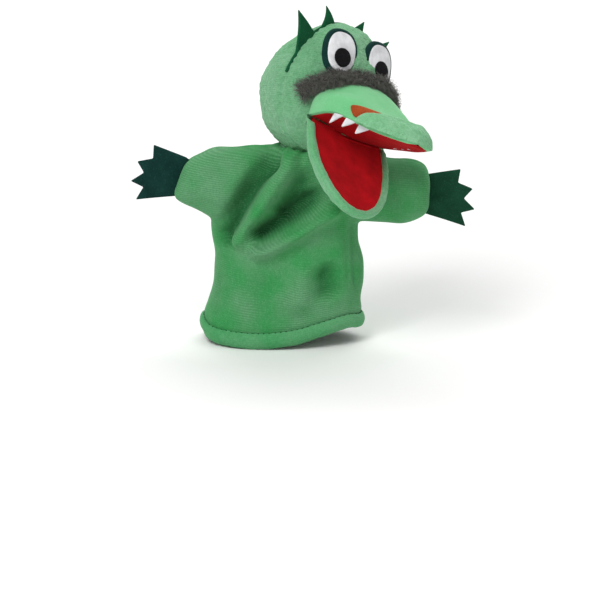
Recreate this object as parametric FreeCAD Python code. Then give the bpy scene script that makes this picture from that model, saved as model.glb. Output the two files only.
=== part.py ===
# Moving mouth finger puppet: a crocodile head on a sewn velour sleeve.
# Millimetres. +Z runs up the sleeve from the middle of its hem opening, and the chest faces -Y.
import FreeCAD, Part
import math
import os

Vector = FreeCAD.Vector
Rotation = FreeCAD.Rotation

# Cloth, felt and clearances
cloth_wall = 1.4          # velour with its backing
felt_wall = 1.0
thread_wide = 0.6
soft_gap = 0.4            # between soft pieces on different bodies
seat_gap = 0.02           # between pieces sewn face to face on one body

# Sleeve: height, half width, half depth and sideways lean of each level
hem_half_width = 28.5
hem_half_depth = 17.0
waist_half_width = 26.0
waist_half_depth = 15.6
chest_half_width = 26.5
chest_half_depth = 15.4
shoulder_half_width = 20.5
shoulder_half_depth = 15.2
waist_height = 33.0
chest_height = 50.0
sleeve_height = 62.4
hem_turn_up = 4.6
stitch_below_turn = 0.8

# Finger channel, from the hem opening to the middle of the head
head_centre = Vector(13.9, 2.0, 83.7)
finger_radius = 9.5
pocket_wall = 0.8
pocket_above_head_centre = 6.0
neck_wall = 1.2
neck_length = 5.0
collar_wall = 1.2
collar_length = 2.4

# Head: a ball with a brow ball, seen from the head's own centre (x left, -y forward, z up)
head_radius = 22.0
brow_radius = 16.0
brow_forward = 4.4
brow_up = 10.3
head_turned = 40.0
head_raised = 5.0
head_tilted = 22.0

# Mouth
hinge_forward = 17.9
hinge_down = 12.7
mouth_open = 46.0
jaw_extra = 10.0          # how much further it opens
mouth_half_width = 19.0
snout_length = 41.5
jaw_length = 39.5
snout_height = 18.0
jaw_depth = 8.0
lip_gap = 0.4             # each lining stands this far off the fold line
fold_radius = 0.8
jaw_root_radius = 4.5
jaw_inside = 1.9          # the lower jaw is this much narrower on each side
jaw_roundness = 2.6

# Nose, nostrils, teeth, brow fur
nose_start = 24.8
nose_proud = 2.0
nostril_length = 4.0
nostril_proud = 0.9
tooth_count = 3
tooth_start = 13.0
tooth_pitch = 5.4
tooth_length = 4.6
tooth_set_in = 0.1
fur_radius = 3.2

# Eyes
eye_side = 8.9
eye_forward = 15.6
eye_up = 14.0
eye_splay = 3.0
eye_lift = 12.0
rim_half_width = 7.3
rim_half_height = 8.6
white_half_width = 5.9
white_half_height = 7.2
pupil_radius = 3.3

# Crest
crest_forward = 3.4
crest_wall = 1.2
crest_band = 1.2

# Arms and hands
arm_centre = Vector(8.0, 0.0, 52.0)
arm_line_tilt = 4.15
shoulder_reach = 22.5
arm_root_radius = 10.5
arm_cuff_radius = 8.6
arm_length = 21.0
arm_swing = 20.0
arm_inner_end = 6.0
arm_end_round = 2.4
hand_half_base = 6.8
hand_raised = {1: -8.0, -1: 14.0}
claws = [(38.0, 15.0), (8.0, 16.8), (-16.0, 18.0), (-38.5, 18.0)]   # angle and reach of each point
claw_depth = 3.2

os.makedirs("parts", exist_ok=True)
parts = {}

finger_axis = Vector(head_centre)
finger_axis.normalize()
neck_point = head_centre - finger_axis * head_radius
head_turn_rotation = Rotation(Vector(0, 0, 1), head_turned)
head_turn_rotation = head_turn_rotation.multiply(Rotation(Vector(1, 0, 0), -head_raised))
head_turn_rotation = head_turn_rotation.multiply(Rotation(Vector(0, 1, 0), head_tilted))
hinge_point = Vector(0, -hinge_forward, -hinge_down)
brow_point = Vector(0, -brow_forward, brow_up)
chest_axis = Vector(math.cos(math.radians(arm_line_tilt)), 0, -math.sin(math.radians(arm_line_tilt)))


def ball(centre, radius):
    return Part.makeSphere(radius, centre)


def ellipse_face(height, half_width, half_depth, centre_x):
    ring = Part.Ellipse(Vector(centre_x, 0, height), half_width, half_depth)
    return Part.Wire([ring.toShape()])


def lean_at(height):
    # The middle of the sleeve follows the finger from the hem to the neck
    return finger_axis.x / finger_axis.z * height


def sleeve_solid(inset, bottom, top):
    # Elliptical levels joined by one smooth skin
    levels = [
        (bottom, hem_half_width, hem_half_depth, 0.0),
        (waist_height * 0.65, waist_half_width + 0.6, waist_half_depth + 0.8, 0.55),
        (waist_height, waist_half_width, waist_half_depth, 0.3),
        (chest_height, chest_half_width, chest_half_depth, 0.85),
        (top, shoulder_half_width, shoulder_half_depth, 1.0),
    ]
    rings = []
    for height, half_width, half_depth, follow in levels:
        middle = lean_at(height) * follow
        rings.append(ellipse_face(height, half_width - inset, half_depth - inset, middle))
    return Part.makeLoft(rings, True, False)


def along_finger(radius, start, length):
    # A round bar on the finger's line, start and length measured from the neck point
    return Part.makeCylinder(radius, length, neck_point + finger_axis * start, finger_axis)


def mouth_section(forward, half_width, height, base, sign):
    # A flat edge closed by half an ellipse, above it (sign 1) or below it (sign -1)
    steps = 8
    arch = []
    for step in range(steps + 1):
        turn = math.pi * step / steps
        arch.append(Vector(half_width * math.cos(turn), -forward, base + sign * height * math.sin(turn)))
    curve = Part.BSplineCurve()
    curve.interpolate(arch)
    return Part.Wire([curve.toShape(), Part.makeLine(arch[-1], arch[0])])


def mouth_width(share, half_width, roundness):
    # Half the width of a jaw at a share of its length: full at the fold, round at the tip
    return half_width * math.sqrt(1 - max(share, 0) ** roundness)


def mouth_loft(profile, length, half_width, height, base, sign, inset):
    wires = []
    for share, height_share in profile:
        wide = mouth_width(share, half_width - inset, jaw_roundness)
        tall = max(height * height_share - inset, 0.6)
        wires.append(mouth_section(share * (length - inset), wide, tall, base, sign))
    return Part.makeLoft(wires, True, False)


def slab(low, high):
    # Everything between two heights, measured from the fold line
    return Part.makeBox(120, 120, high - low, Vector(-60, -80, low))


def keep_side(shape, side):
    # The half of a shape to the puppet's left (side 1) or right (side -1)
    low = 0.0 if side > 0 else -80.0
    return shape.common(Part.makeBox(80, 200, 200, Vector(low, -100, -100)))


def in_head(shape):
    # From the head's own axes to the puppet's
    placed = shape.copy()
    placed.Placement = FreeCAD.Placement(head_centre, head_turn_rotation).multiply(placed.Placement)
    return placed


def at_hinge(shape):
    placed = shape.copy()
    placed.translate(hinge_point)
    return placed


def main_solid(shape):
    # The largest solid of a cut, without the crumbs at its corners
    return max(shape.Solids, key=lambda solid: solid.Volume)


def keep(name, shape):
    parts[name] = shape
    return shape


# ---- Sleeve ----
def make_sleeve():
    outer = sleeve_solid(0, 0, sleeve_height)
    inner = sleeve_solid(cloth_wall, 0, sleeve_height)
    top_wall = Part.makeBox(120, 80, cloth_wall, Vector(-60, -40, sleeve_height - cloth_wall))
    shell = outer.cut(inner.cut(top_wall))
    neck_hole_radius = finger_radius + pocket_wall + neck_wall + soft_gap + collar_wall
    shell = shell.cut(along_finger(neck_hole_radius + seat_gap, -20, 40))
    for side in (-1, 1):
        for share in (-1, -0.5, 0, 0.5, 1):
            shell = shell.cut(place_arm(arm_form(-soft_gap), side, share * arm_swing))
    front = Part.makeBox(120, 60, 120, Vector(-60, -60, -10))
    keep("sleeve_front_panel", shell.common(front))
    keep("sleeve_back_panel", shell.cut(front))

    lining_outer = sleeve_solid(cloth_wall + seat_gap, 0, sleeve_height)
    lining_inner = sleeve_solid(2 * cloth_wall, 0, sleeve_height)
    low_slab = Part.makeBox(120, 80, hem_turn_up, Vector(-60, -40, 0))
    keep("hem_turn_up", lining_outer.cut(lining_inner).common(low_slab))

    thread_outer = sleeve_solid(-thread_wide / 2, 0, sleeve_height)
    thread_inner = sleeve_solid(-seat_gap, 0, sleeve_height)
    stitch_height = hem_turn_up - stitch_below_turn
    thread_slab = Part.makeBox(120, 80, thread_wide, Vector(-60, -40, stitch_height))
    keep("hem_stitching", thread_outer.cut(thread_inner).common(thread_slab))

    collar_inner = neck_hole_radius - collar_wall
    collar = along_finger(neck_hole_radius, -collar_length, collar_length)
    collar = collar.cut(along_finger(collar_inner, -collar_length - 1, collar_length + 2))
    keep("neck_collar", collar)


# ---- Neck ----
def make_neck():
    inner = finger_radius + pocket_wall
    tube = along_finger(inner + neck_wall, -neck_length, neck_length - soft_gap)
    keep("neck_tube", tube.cut(along_finger(inner, -neck_length - 1, neck_length + 2)))


# ---- Head ----
def head_form(inset):
    return ball(Vector(0, 0, 0), head_radius - inset).fuse(ball(brow_point, brow_radius - inset))


def jaw_sweep():
    # The room the root of the jaw turns in: a bar on the fold line, less its upper front quarter,
    # and the jaw itself at rest and further open
    wide = mouth_half_width + 2.0
    bar = Part.makeCylinder(jaw_root_radius + soft_gap, 2 * wide, Vector(-wide, 0, 0), Vector(1, 0, 0))
    quarter = Part.makeBox(2 * wide, 30, 30, Vector(-wide, -30.3, 0))
    room = at_hinge(bar.cut(quarter))
    for extra in (0.0, jaw_extra / 2, jaw_extra):
        swing = FreeCAD.Placement(hinge_point, Rotation(Vector(1, 0, 0), mouth_open + extra))
        swept = make_jaw_form(-soft_gap)
        swept.Placement = swing.multiply(swept.Placement)
        room = room.fuse(swept)
    return room


# Height along each jaw: (share of its length, share of its full height)
snout_profile = [(-0.26, 0.80), (0.0, 1.0), (0.2, 0.96), (0.4, 0.72), (0.6, 0.44), (0.8, 0.32), (0.93, 0.24),
                 (0.99, 0.14)]
jaw_profile = [(-0.12, 0.56), (0.0, 0.56), (0.25, 1.0), (0.55, 0.95), (0.8, 0.76), (0.93, 0.52), (0.99, 0.3)]


def make_snout_form(inset):
    return at_hinge(mouth_loft(snout_profile, snout_length, mouth_half_width, snout_height, lip_gap, 1, inset))


def make_jaw_form(inset):
    return mouth_loft(jaw_profile, jaw_length, mouth_half_width - jaw_inside, jaw_depth, -lip_gap, -1, inset)


def make_head():
    finger_line = head_turn_rotation.inverted().multVec(finger_axis)
    skin_outer = head_form(0)
    skin_inner = head_form(cloth_wall)
    sweep = jaw_sweep()
    pocket_length = head_radius + pocket_above_head_centre
    pocket_start = finger_line * -head_radius
    pocket_outer = Part.makeCylinder(finger_radius + pocket_wall, pocket_length + pocket_wall, pocket_start,
                                     finger_line)
    pocket_bore = Part.makeCylinder(finger_radius, pocket_length, pocket_start, finger_line)
    pocket_below = Part.makeCylinder(finger_radius + pocket_wall, 10, pocket_start - finger_line * 10, finger_line)
    pocket = pocket_outer.cut(pocket_bore).common(ball(Vector(0, 0, 0), head_radius))

    fold_bar = Part.makeCylinder(fold_radius + seat_gap, 4 * mouth_half_width,
                                 Vector(-2 * mouth_half_width, 0, 0), Vector(1, 0, 0))
    sweep = sweep.fuse(at_hinge(fold_bar))
    skin = skin_outer.cut(skin_inner).cut(pocket_outer).cut(pocket_below).cut(sweep)
    back_box = Part.makeBox(100, 60, 100, Vector(-50, -crest_forward, -50))
    keep("head_back_panel", in_head(skin.common(back_box)))
    keep("head_front_panel", in_head(skin.cut(back_box)))
    stuffing = skin_inner.cut(pocket_outer).cut(sweep)
    keep("head_stuffing", in_head(stuffing))
    keep("finger_pocket", in_head(pocket))

    # Upper jaw: a velour cap over a stuffed core, a board and the red lining
    outer = make_snout_form(0)
    inner = make_snout_form(cloth_wall)
    lining_slab = at_hinge(slab(lip_gap, lip_gap + felt_wall))
    board_slab = at_hinge(slab(lip_gap + felt_wall, lip_gap + 2 * felt_wall))
    core_slab = at_hinge(slab(lip_gap + 2 * felt_wall, 60))
    fold_half = mouth_half_width - cloth_wall - 1.0
    fold_line = Vector(-fold_half, 0, 0)
    fold = Part.makeCylinder(fold_radius, 2 * fold_half, fold_line, Vector(1, 0, 0))
    taken = skin_outer.fuse(sweep)
    keep("snout_skin", in_head(main_solid(outer.cut(inner).cut(taken))))
    keep("snout_stuffing", in_head(main_solid(inner.common(core_slab).cut(taken))))
    keep("upper_mouth_board", in_head(main_solid(inner.common(board_slab).cut(taken))))
    keep("upper_mouth_lining", in_head(main_solid(inner.common(lining_slab).cut(taken))))
    keep("mouth_fold", in_head(at_hinge(fold)))

    # Nose cap and the nostril felts caught under its back edge
    cap_outer = make_snout_form(-nose_proud)
    cap_box = at_hinge(Part.makeBox(80, 60, 60, Vector(-40, -nose_start - 60, lip_gap + 1.2)))
    keep("nose_cap", in_head(cap_outer.cut(outer).common(cap_box)))
    nostril_outer = make_snout_form(-nostril_proud)
    nostril_box = at_hinge(Part.makeBox(80, nostril_length, 60, Vector(-40, -nose_start, lip_gap + 2.4)))
    nostril_ring = nostril_outer.cut(outer).common(nostril_box)
    gap_box = at_hinge(Part.makeBox(3, 80, 60, Vector(-1.5, -80, 0)))
    for name, side in (("left", 1), ("right", -1)):
        keep("nostril_felt_" + name, in_head(keep_side(nostril_ring.cut(gap_box), side)))

    # Teeth: felt points along the edge of the upper jaw, leaning back
    for name, side in (("left", 1), ("right", -1)):
        points = []
        for number in range(tooth_count):
            back = tooth_start + tooth_pitch * number
            front = back + tooth_pitch * 0.94
            back_side = mouth_width(back / snout_length, mouth_half_width, jaw_roundness) - tooth_set_in
            front_side = mouth_width(front / snout_length, mouth_half_width, jaw_roundness) - tooth_set_in
            low = lip_gap - seat_gap
            corner = Vector(front_side, -front, low)
            tip = Vector(back_side, -back + tooth_length * 0.6, low - tooth_length * 0.55)
            outline = [corner, Vector(back_side, -back, low), tip, corner]
            tooth = Part.Face(Part.makePolygon(outline)).extrude(Vector(-felt_wall, 0, 0))
            if side < 0:
                tooth = tooth.mirror(Vector(0, 0, 0), Vector(1, 0, 0))
            points.append(at_hinge(tooth))
        keep("teeth_" + name, in_head(Part.makeCompound(points)))

    # Eyes: three layers of felt on each side of the brow
    covered = skin_outer.fuse(outer)
    for name, side in (("left", 1), ("right", -1)):
        make_eye(name, side, covered)

    # Fur strip across the root of the snout
    fur_end = Vector(19.5, -hinge_forward + 7.5, -hinge_down + 10.4)
    fur_mid = Vector(0, -hinge_forward - 6.0, -hinge_down + 19.8)
    fur_start = Vector(-fur_end.x, fur_end.y, fur_end.z)
    fur_path = Part.Wire([Part.Arc(fur_start, fur_mid, fur_end).toShape()])
    fur_way = fur_path.Edges[0].tangentAt(fur_path.Edges[0].FirstParameter)
    fur_ring = Part.Wire([Part.makeCircle(fur_radius, fur_start, fur_way)])
    fur = fur_path.makePipeShell([fur_ring], True, True).cut(covered)
    for eye_side_name in ("left", "right"):
        fur = fur.cut(eye_room[eye_side_name])
    keep("brow_fur", in_head(fur))

    make_crest(skin_outer)


eye_room = {}


def oval_bar(half_width, half_height, start, end):
    # An oval bar along -y, between two depths
    oval = Part.Ellipse(Vector(0, 0, 0), half_height, half_width).toShape()
    face = Part.Face(Part.Wire([oval]))
    bar = face.extrude(Vector(0, 0, end - start))
    bar.translate(Vector(0, 0, start))
    turned = Rotation(Vector(1, 0, 0), 90)
    upright = Rotation(Vector(0, 0, 1), 90)
    bar.Placement = FreeCAD.Placement(Vector(0, 0, 0), turned.multiply(upright)).multiply(bar.Placement)
    return bar


def make_eye(name, side, taken):
    turn = Rotation(Vector(0, 0, 1), side * eye_splay).multiply(Rotation(Vector(1, 0, 0), -eye_lift))
    place = FreeCAD.Placement(Vector(side * eye_side, -eye_forward, eye_up), turn)
    rim = oval_bar(rim_half_width, rim_half_height, -7.0, felt_wall)
    white = oval_bar(white_half_width, white_half_height, felt_wall + seat_gap, 2 * felt_wall)
    pupil = oval_bar(pupil_radius, pupil_radius + 0.01, 2 * felt_wall + seat_gap, 3 * felt_wall)
    pupil.translate(Vector(0, 0, -2.2))
    room = oval_bar(rim_half_width + 0.1, rim_half_height + 0.1, -8.0, 4 * felt_wall)
    middle = Part.makeBox(0.1, 80, 80, Vector(-0.05, -60, -20))
    for label, layer in (("eye_rim_", rim), ("eye_white_", white), ("pupil_", pupil)):
        layer.Placement = place.multiply(layer.Placement)
        layer = keep_side(layer.cut(taken).cut(middle), side)
        keep(label + name, in_head(main_solid(layer)))
    room.Placement = place.multiply(room.Placement)
    eye_room[name] = room


def crest_point(angle, radius):
    turn = math.radians(angle)
    return Vector(radius * math.sin(turn), 0, brow_up + radius * math.cos(turn))


def make_crest(skin_outer):
    # Four felt fins on one band, sewn into the seam over the crown
    band = ball(Vector(0, 0, 0), head_radius + crest_band).fuse(ball(brow_point, brow_radius + crest_band))
    band = band.common(Part.makeBox(80, crest_wall, 60, Vector(-40, -crest_forward - crest_wall / 2, 4)))
    fins = band
    for side in (-1, 1):
        for low, high, tip, reach in ((14, 45, 25, 21.8), (52, 84, 55, 27.0)):
            outline = [
                crest_point(side * low, brow_radius - 4),
                crest_point(side * low, brow_radius + 0.6),
                crest_point(side * tip, reach),
                crest_point(side * high, brow_radius + 2.6),
                crest_point(side * high, brow_radius - 4),
                crest_point(side * low, brow_radius - 4),
            ]
            fin = Part.Face(Part.makePolygon(outline)).extrude(Vector(0, crest_wall, 0))
            fin.translate(Vector(0, -crest_forward - crest_wall / 2, 0))
            fins = fins.fuse(fin)
    keep("crest_strip", in_head(fins.cut(skin_outer).removeSplitter()))


# ---- Lower jaw ----
def make_jaw():
    outer = make_jaw_form(0)
    inner = make_jaw_form(cloth_wall)
    wide = mouth_half_width + 2.0
    root = Part.makeCylinder(jaw_root_radius, 2 * wide, Vector(-wide, 0, 0), Vector(1, 0, 0))
    ahead = Part.makeBox(2 * wide, 80, 60, Vector(-wide, -80, -30))
    room = root.fuse(ahead)
    eye = Part.makeCylinder(fold_radius + 0.3, 2 * wide, Vector(-wide, 0, 0), Vector(1, 0, 0))
    opened = Rotation(Vector(1, 0, 0), mouth_open)
    swing = FreeCAD.Placement(hinge_point, opened)
    layers = [
        ("jaw_skin", outer.cut(inner)),
        ("lower_mouth_lining", inner.common(slab(-lip_gap - felt_wall, -lip_gap))),
        ("lower_mouth_board", inner.common(slab(-lip_gap - 2 * felt_wall, -lip_gap - felt_wall))),
        ("jaw_padding", inner.common(slab(-60, -lip_gap - 2 * felt_wall))),
    ]
    for name, layer in layers:
        shape = main_solid(layer.common(room).cut(eye))
        shape.Placement = swing.multiply(shape.Placement)
        keep(name, in_head(shape))


# ---- Arms and hands ----
def arm_form(inset):
    # A cone from the shoulder ball to a rounded cuff, cut flat on the side of the finger
    body = Part.makeCone(arm_root_radius - inset, arm_cuff_radius - inset, arm_length - inset)
    rim = max(body.Edges, key=lambda edge: edge.BoundBox.ZMax + edge.BoundBox.ZMin)
    body = body.makeFillet(arm_end_round, [rim])
    body = body.fuse(Part.makeSphere(arm_root_radius - inset))
    return body.cut(Part.makeBox(60, 60, 60, Vector(-30, -30, -60 - arm_inner_end + inset)))


def hand_outline(tilt):
    # A flat hand that widens from the cuff to four claws, fanned about the end of the arm
    outline = [Vector(0, 0, -hand_half_base), Vector(0, 0, hand_half_base)]
    for number, (claw_angle, claw_reach) in enumerate(claws):
        turn = math.radians(claw_angle + tilt)
        outline.append(Vector(claw_reach * math.cos(turn), 0, claw_reach * math.sin(turn)))
        if number < len(claws) - 1:
            turn = math.radians((claw_angle + claws[number + 1][0]) / 2 + tilt)
            reach = min(claw_reach, claws[number + 1][1]) - claw_depth
            outline.append(Vector(reach * math.cos(turn), 0, reach * math.sin(turn)))
    return outline + [outline[0]]


def place_arm(shape, side, raised):
    # Put an arm made along +Z at its shoulder, raised from rest by an angle in the chest's plane
    pivot = arm_centre + chest_axis * (side * shoulder_reach)
    lie_out = Rotation(Vector(0, 0, 1), chest_axis * side)
    lift = Rotation(Vector(0, -side, 0), raised)
    placed = shape.copy()
    placed.Placement = FreeCAD.Placement(pivot, lift.multiply(lie_out)).multiply(placed.Placement)
    return placed


def make_arms():
    for name, side in (("left", 1), ("right", -1)):
        keep("arm_skin_" + name, place_arm(arm_form(0).cut(arm_form(cloth_wall)), side, 0))
        keep("arm_stuffing_" + name, place_arm(arm_form(cloth_wall + seat_gap), side, 0))
        hand = Part.Face(Part.makePolygon(hand_outline(hand_raised[side]))).extrude(Vector(0, felt_wall, 0))
        hand.translate(Vector(0, -felt_wall / 2, 0))
        if side < 0:
            hand = hand.mirror(Vector(0, 0, 0), Vector(1, 0, 0))
        tilt = Rotation(Vector(0, 1, 0), arm_line_tilt)
        reach = shoulder_reach + arm_length + soft_gap + felt_wall / 2
        cuff = arm_centre + chest_axis * (side * reach)
        hand.Placement = FreeCAD.Placement(cuff, tilt).multiply(hand.Placement)
        keep("hand_felt_" + name, hand)


make_sleeve()
make_neck()
make_head()
make_jaw()
make_arms()

for name, shape in parts.items():
    if shape.isNull() or not shape.Solids:
        raise RuntimeError(name + " has no solid")
    shape.exportStep("parts/" + name + ".step")
print(len(parts), "parts")
print("neck point", neck_point)
print("fold middle", head_centre + head_turn_rotation.multVec(hinge_point))
print("fold axis", head_turn_rotation.multVec(Vector(1, 0, 0)))
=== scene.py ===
# Crocodile finger puppet: sewn velour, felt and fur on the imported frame
import math
import bpy
import bmesh
import numpy as np
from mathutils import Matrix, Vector
from mathutils.kdtree import KDTree


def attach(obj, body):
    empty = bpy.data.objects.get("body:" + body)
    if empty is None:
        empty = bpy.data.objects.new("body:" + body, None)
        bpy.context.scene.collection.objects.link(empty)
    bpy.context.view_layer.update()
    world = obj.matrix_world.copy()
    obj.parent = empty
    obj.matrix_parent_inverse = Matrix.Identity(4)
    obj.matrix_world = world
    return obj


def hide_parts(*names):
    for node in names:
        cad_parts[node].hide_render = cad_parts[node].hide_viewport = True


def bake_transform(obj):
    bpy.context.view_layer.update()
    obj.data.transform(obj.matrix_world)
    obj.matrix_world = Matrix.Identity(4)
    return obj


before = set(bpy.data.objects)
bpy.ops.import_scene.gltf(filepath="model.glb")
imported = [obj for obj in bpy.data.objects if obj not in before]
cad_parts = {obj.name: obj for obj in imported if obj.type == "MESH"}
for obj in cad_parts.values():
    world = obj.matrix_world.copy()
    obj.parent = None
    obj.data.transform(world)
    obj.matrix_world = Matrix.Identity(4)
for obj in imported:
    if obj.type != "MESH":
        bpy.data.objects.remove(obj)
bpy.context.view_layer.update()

random = np.random.default_rng(11)
mm = 0.001

# Shapes are worked out in millimetres and put into meshes in metres


def spot(x, y, z):
    # Points from their three coordinates, each spread to the shape that they share
    return np.stack(np.broadcast_arrays(x, y, z), axis=-1)


def unit(ways):
    # Each way made one long
    return ways / np.linalg.norm(ways, axis=-1, keepdims=True)


def turned(axis, degrees):
    # Rotation matrix about x, y or z
    c, s = math.cos(math.radians(degrees)), math.sin(math.radians(degrees))
    if axis == "x":
        return np.array([[1, 0, 0], [0, c, -s], [0, s, c]])
    if axis == "y":
        return np.array([[c, 0, s], [0, 1, 0], [-s, 0, c]])
    return np.array([[c, -s, 0], [s, c, 0], [0, 0, 1]])


def smoothLine(knots, count):
    # Catmull-Rom curve through knots, sampled evenly between the first and the last
    k = np.array(knots, float).reshape(len(knots), -1)
    k = np.vstack([2 * k[0] - k[1], k, 2 * k[-1] - k[-2]])
    t = np.linspace(0, len(knots) - 1 - 1e-9, count)
    i, f = t.astype(int), (t % 1.0)[:, None]
    a, b, c, d = k[i], k[i + 1], k[i + 2], k[i + 3]
    square = 2 * a - 5 * b + 4 * c - d
    cube = 3 * b - a - 3 * c + d
    return 0.5 * (2 * b + (c - a) * f + square * f ** 2 + cube * f ** 3)


def smoothCurve(x, knots):
    # A smooth value over x from (place, value) pairs, eased between them
    k = np.array(knots, float)
    line = smoothLine(k, 400)
    order = np.argsort(line[:, 0])
    return np.interp(x, line[order, 0], line[order, 1])


def smoothStep(x, low, high):
    # From 0 at low to 1 at high: t squared times (3 - 2 t)
    t = np.clip((x - low) / (high - low), 0, 1)
    return t * t * (3 - 2 * t)


def lumps(points, size, seed):
    # Soft bumps: a sum of twelve sine waves in seeded directions, about -1 to 1
    own = np.random.default_rng(seed)
    ways = own.normal(size=(12, 3))
    ways *= (6.283 / size) * own.uniform(0.6, 1.5, (12, 1)) / np.linalg.norm(ways, axis=1, keepdims=True)
    return np.sin(points @ ways.T + own.uniform(0, 6.283, 12)).sum(axis=-1) / 6


def putMesh(name, points, faces, uv=None):
    # A piece at the origin from points in millimetres, with its cloth map where one is given
    mesh = bpy.data.meshes.new(name)
    mesh.from_pydata((np.asarray(points).reshape(-1, 3) * mm).tolist(), [], faces)
    if uv is not None:
        layer = mesh.uv_layers.new(name="cloth")
        layer.data.foreach_set("uv", np.asarray(uv, np.float32).ravel())
    mesh.polygons.foreach_set("use_smooth", [True] * len(mesh.polygons))
    mesh.update()
    piece = bpy.data.objects.new(name, mesh)
    bpy.context.scene.collection.objects.link(piece)
    return piece


def gridFaces(rows, columns, around):
    # Quads between neighbouring rows and columns, with a wrap for a closed ring
    index = np.arange(rows * columns).reshape(rows, columns)
    right = np.roll(index, -1, axis=1)
    if not around:
        index, right = index[:, :-1], right[:, :-1]
    return np.stack([index[:-1], right[:-1], right[1:], index[1:]], axis=-1).reshape(-1, 4)


def gridPiece(name, grid, around=True, startPole=False, endPole=False, inward=False):
    # A surface from rows of points; its cloth map runs in millimetres round and along it
    rows, columns = grid.shape[:2]
    faces = gridFaces(rows, columns, around)
    across = np.linalg.norm(np.roll(grid, -1, axis=1) - grid, axis=2)
    u = np.concatenate([np.zeros((rows, 1)), np.cumsum(across, axis=1)], axis=1)
    u = u * (u[:, -1:].max() / np.maximum(u[:, -1:], 1e-6))
    along = np.linalg.norm(np.diff(grid, axis=0), axis=2).mean(axis=1)
    v = np.concatenate([[0], np.cumsum(along)])[:, None] + np.zeros((rows, columns + 1))
    uv = np.stack([u, v], axis=-1)
    last = columns if around else columns - 1
    c = np.arange(last)
    near, far = uv[:-1], uv[1:]
    corner = np.stack([near[:, c], near[:, c + 1], far[:, c + 1], far[:, c]], axis=2).reshape(-1, 4, 2)
    points = grid.reshape(-1, 3)
    quads = faces[:, ::-1] if inward else faces
    maps = corner[:, ::-1] if inward else corner
    everyFace, everyMap = quads.tolist(), maps.reshape(-1, 2)
    for pole, row, step in ((startPole, 0, 1), (endPole, rows - 1, -1)):
        if not pole:
            continue
        points = np.vstack([points, grid[row].mean(axis=0)])
        ring = np.arange(columns) + row * columns
        tris = np.stack([ring, np.roll(ring, -1), np.full(columns, len(points) - 1)], axis=1)
        if (step == 1) != inward:
            tris = tris[:, ::-1]
        everyFace += tris.tolist()
        ends = np.stack([uv[row, :columns], uv[row, 1:], uv[row, :columns]], axis=1)
        everyMap = np.vstack([everyMap, (ends[:, ::-1] if (step == 1) != inward else ends).reshape(-1, 2)])
    return putMesh(name, points, everyFace, everyMap)


def welded(piece, distance=0.004):
    # Join doubled edge points and turn every face outwards
    work = bmesh.new()
    work.from_mesh(piece.data)
    bmesh.ops.remove_doubles(work, verts=work.verts, dist=distance * mm)
    bmesh.ops.recalc_face_normals(work, faces=work.faces)
    work.to_mesh(piece.data)
    work.free()
    piece.data.polygons.foreach_set("use_smooth", [True] * len(piece.data.polygons))
    return piece


def gridNormals(grid, around=False):
    # The way out of a grid of points: across its rows, times along them
    if around:
        across = np.roll(grid, -1, axis=1) - np.roll(grid, 1, axis=1)
    else:
        across = np.gradient(grid, axis=1)
    along = np.gradient(grid, axis=0)
    normal = np.cross(across, along)
    size = np.linalg.norm(normal, axis=2, keepdims=True)
    return normal / np.maximum(size, 1e-9)


def feltPiece(name, grid, thickness, edge=0.5, around=False, fluff=0.0):
    # A cut sheet of felt: two faces either side of a middle surface, meeting in a soft rounded rim.
    # Half the thickness is t * sqrt(1 - (1 - d / edge) squared) at a distance d inside the rim
    normal = gridNormals(grid, around)
    if around:
        normal[0] = unit(normal[1].mean(axis=0))
    down = np.linalg.norm(np.diff(grid, axis=0), axis=2)
    fromEnd = np.concatenate([np.cumsum(down[::-1], axis=0)[::-1], np.zeros((1, grid.shape[1]))])
    inside = fromEnd
    if not around:
        fromStart = np.concatenate([np.zeros((1, grid.shape[1])), np.cumsum(down, axis=0)])
        over = np.linalg.norm(np.diff(grid, axis=1), axis=2)
        fromLeft = np.concatenate([np.zeros((grid.shape[0], 1)), np.cumsum(over, axis=1)], axis=1)
        fromRight = fromLeft[:, -1:] - fromLeft
        inside = np.minimum(np.minimum(fromEnd, fromStart), np.minimum(fromLeft, fromRight))
    share = np.clip(inside / edge, 0, 1)
    half = thickness / 2 * np.sqrt(np.clip(1 - (1 - share) ** 2, 0, 1))[..., None]
    ripple = (fluff * lumps(grid, 2.4, 5))[..., None] * normal * share[..., None]
    front = grid + normal * half + ripple
    back = grid - normal * half + ripple
    rows, columns = grid.shape[:2]
    faces = gridFaces(rows, columns, around)
    far = rows * columns
    return welded(putMesh(name, np.concatenate([front, back]).reshape(-1, 3),
                          faces.tolist() + (faces[:, ::-1] + far).tolist()))


# Camera
view = {"target": (6.4, 0.0, 9.6), "distance": 1500.0, "elevation": 15.0, "lens": 252.0}
raised = math.radians(view["elevation"])
camera = bpy.data.objects.new("camera", bpy.data.cameras.new("camera"))
camera.data.lens = view["lens"]
camera.data.dof.use_dof = False
camera.location = (view["target"][0] * mm, -view["distance"] * math.cos(raised) * mm,
                   (view["target"][2] + view["distance"] * math.sin(raised)) * mm)
camera.rotation_euler = (math.radians(90) - raised, 0, 0)
bpy.context.scene.collection.objects.link(camera)
bpy.context.scene.camera = camera
print("camera placed")


# Materials
def colour(code):
    # Hex code to the renderer's linear values
    channel = np.array([int(code[i:i + 2], 16) for i in (0, 2, 4)]) / 255
    linear = np.where(channel > 0.04045, ((channel + 0.055) / 1.055) ** 2.4, channel / 12.92)
    return (*linear.tolist(), 1.0)


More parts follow.
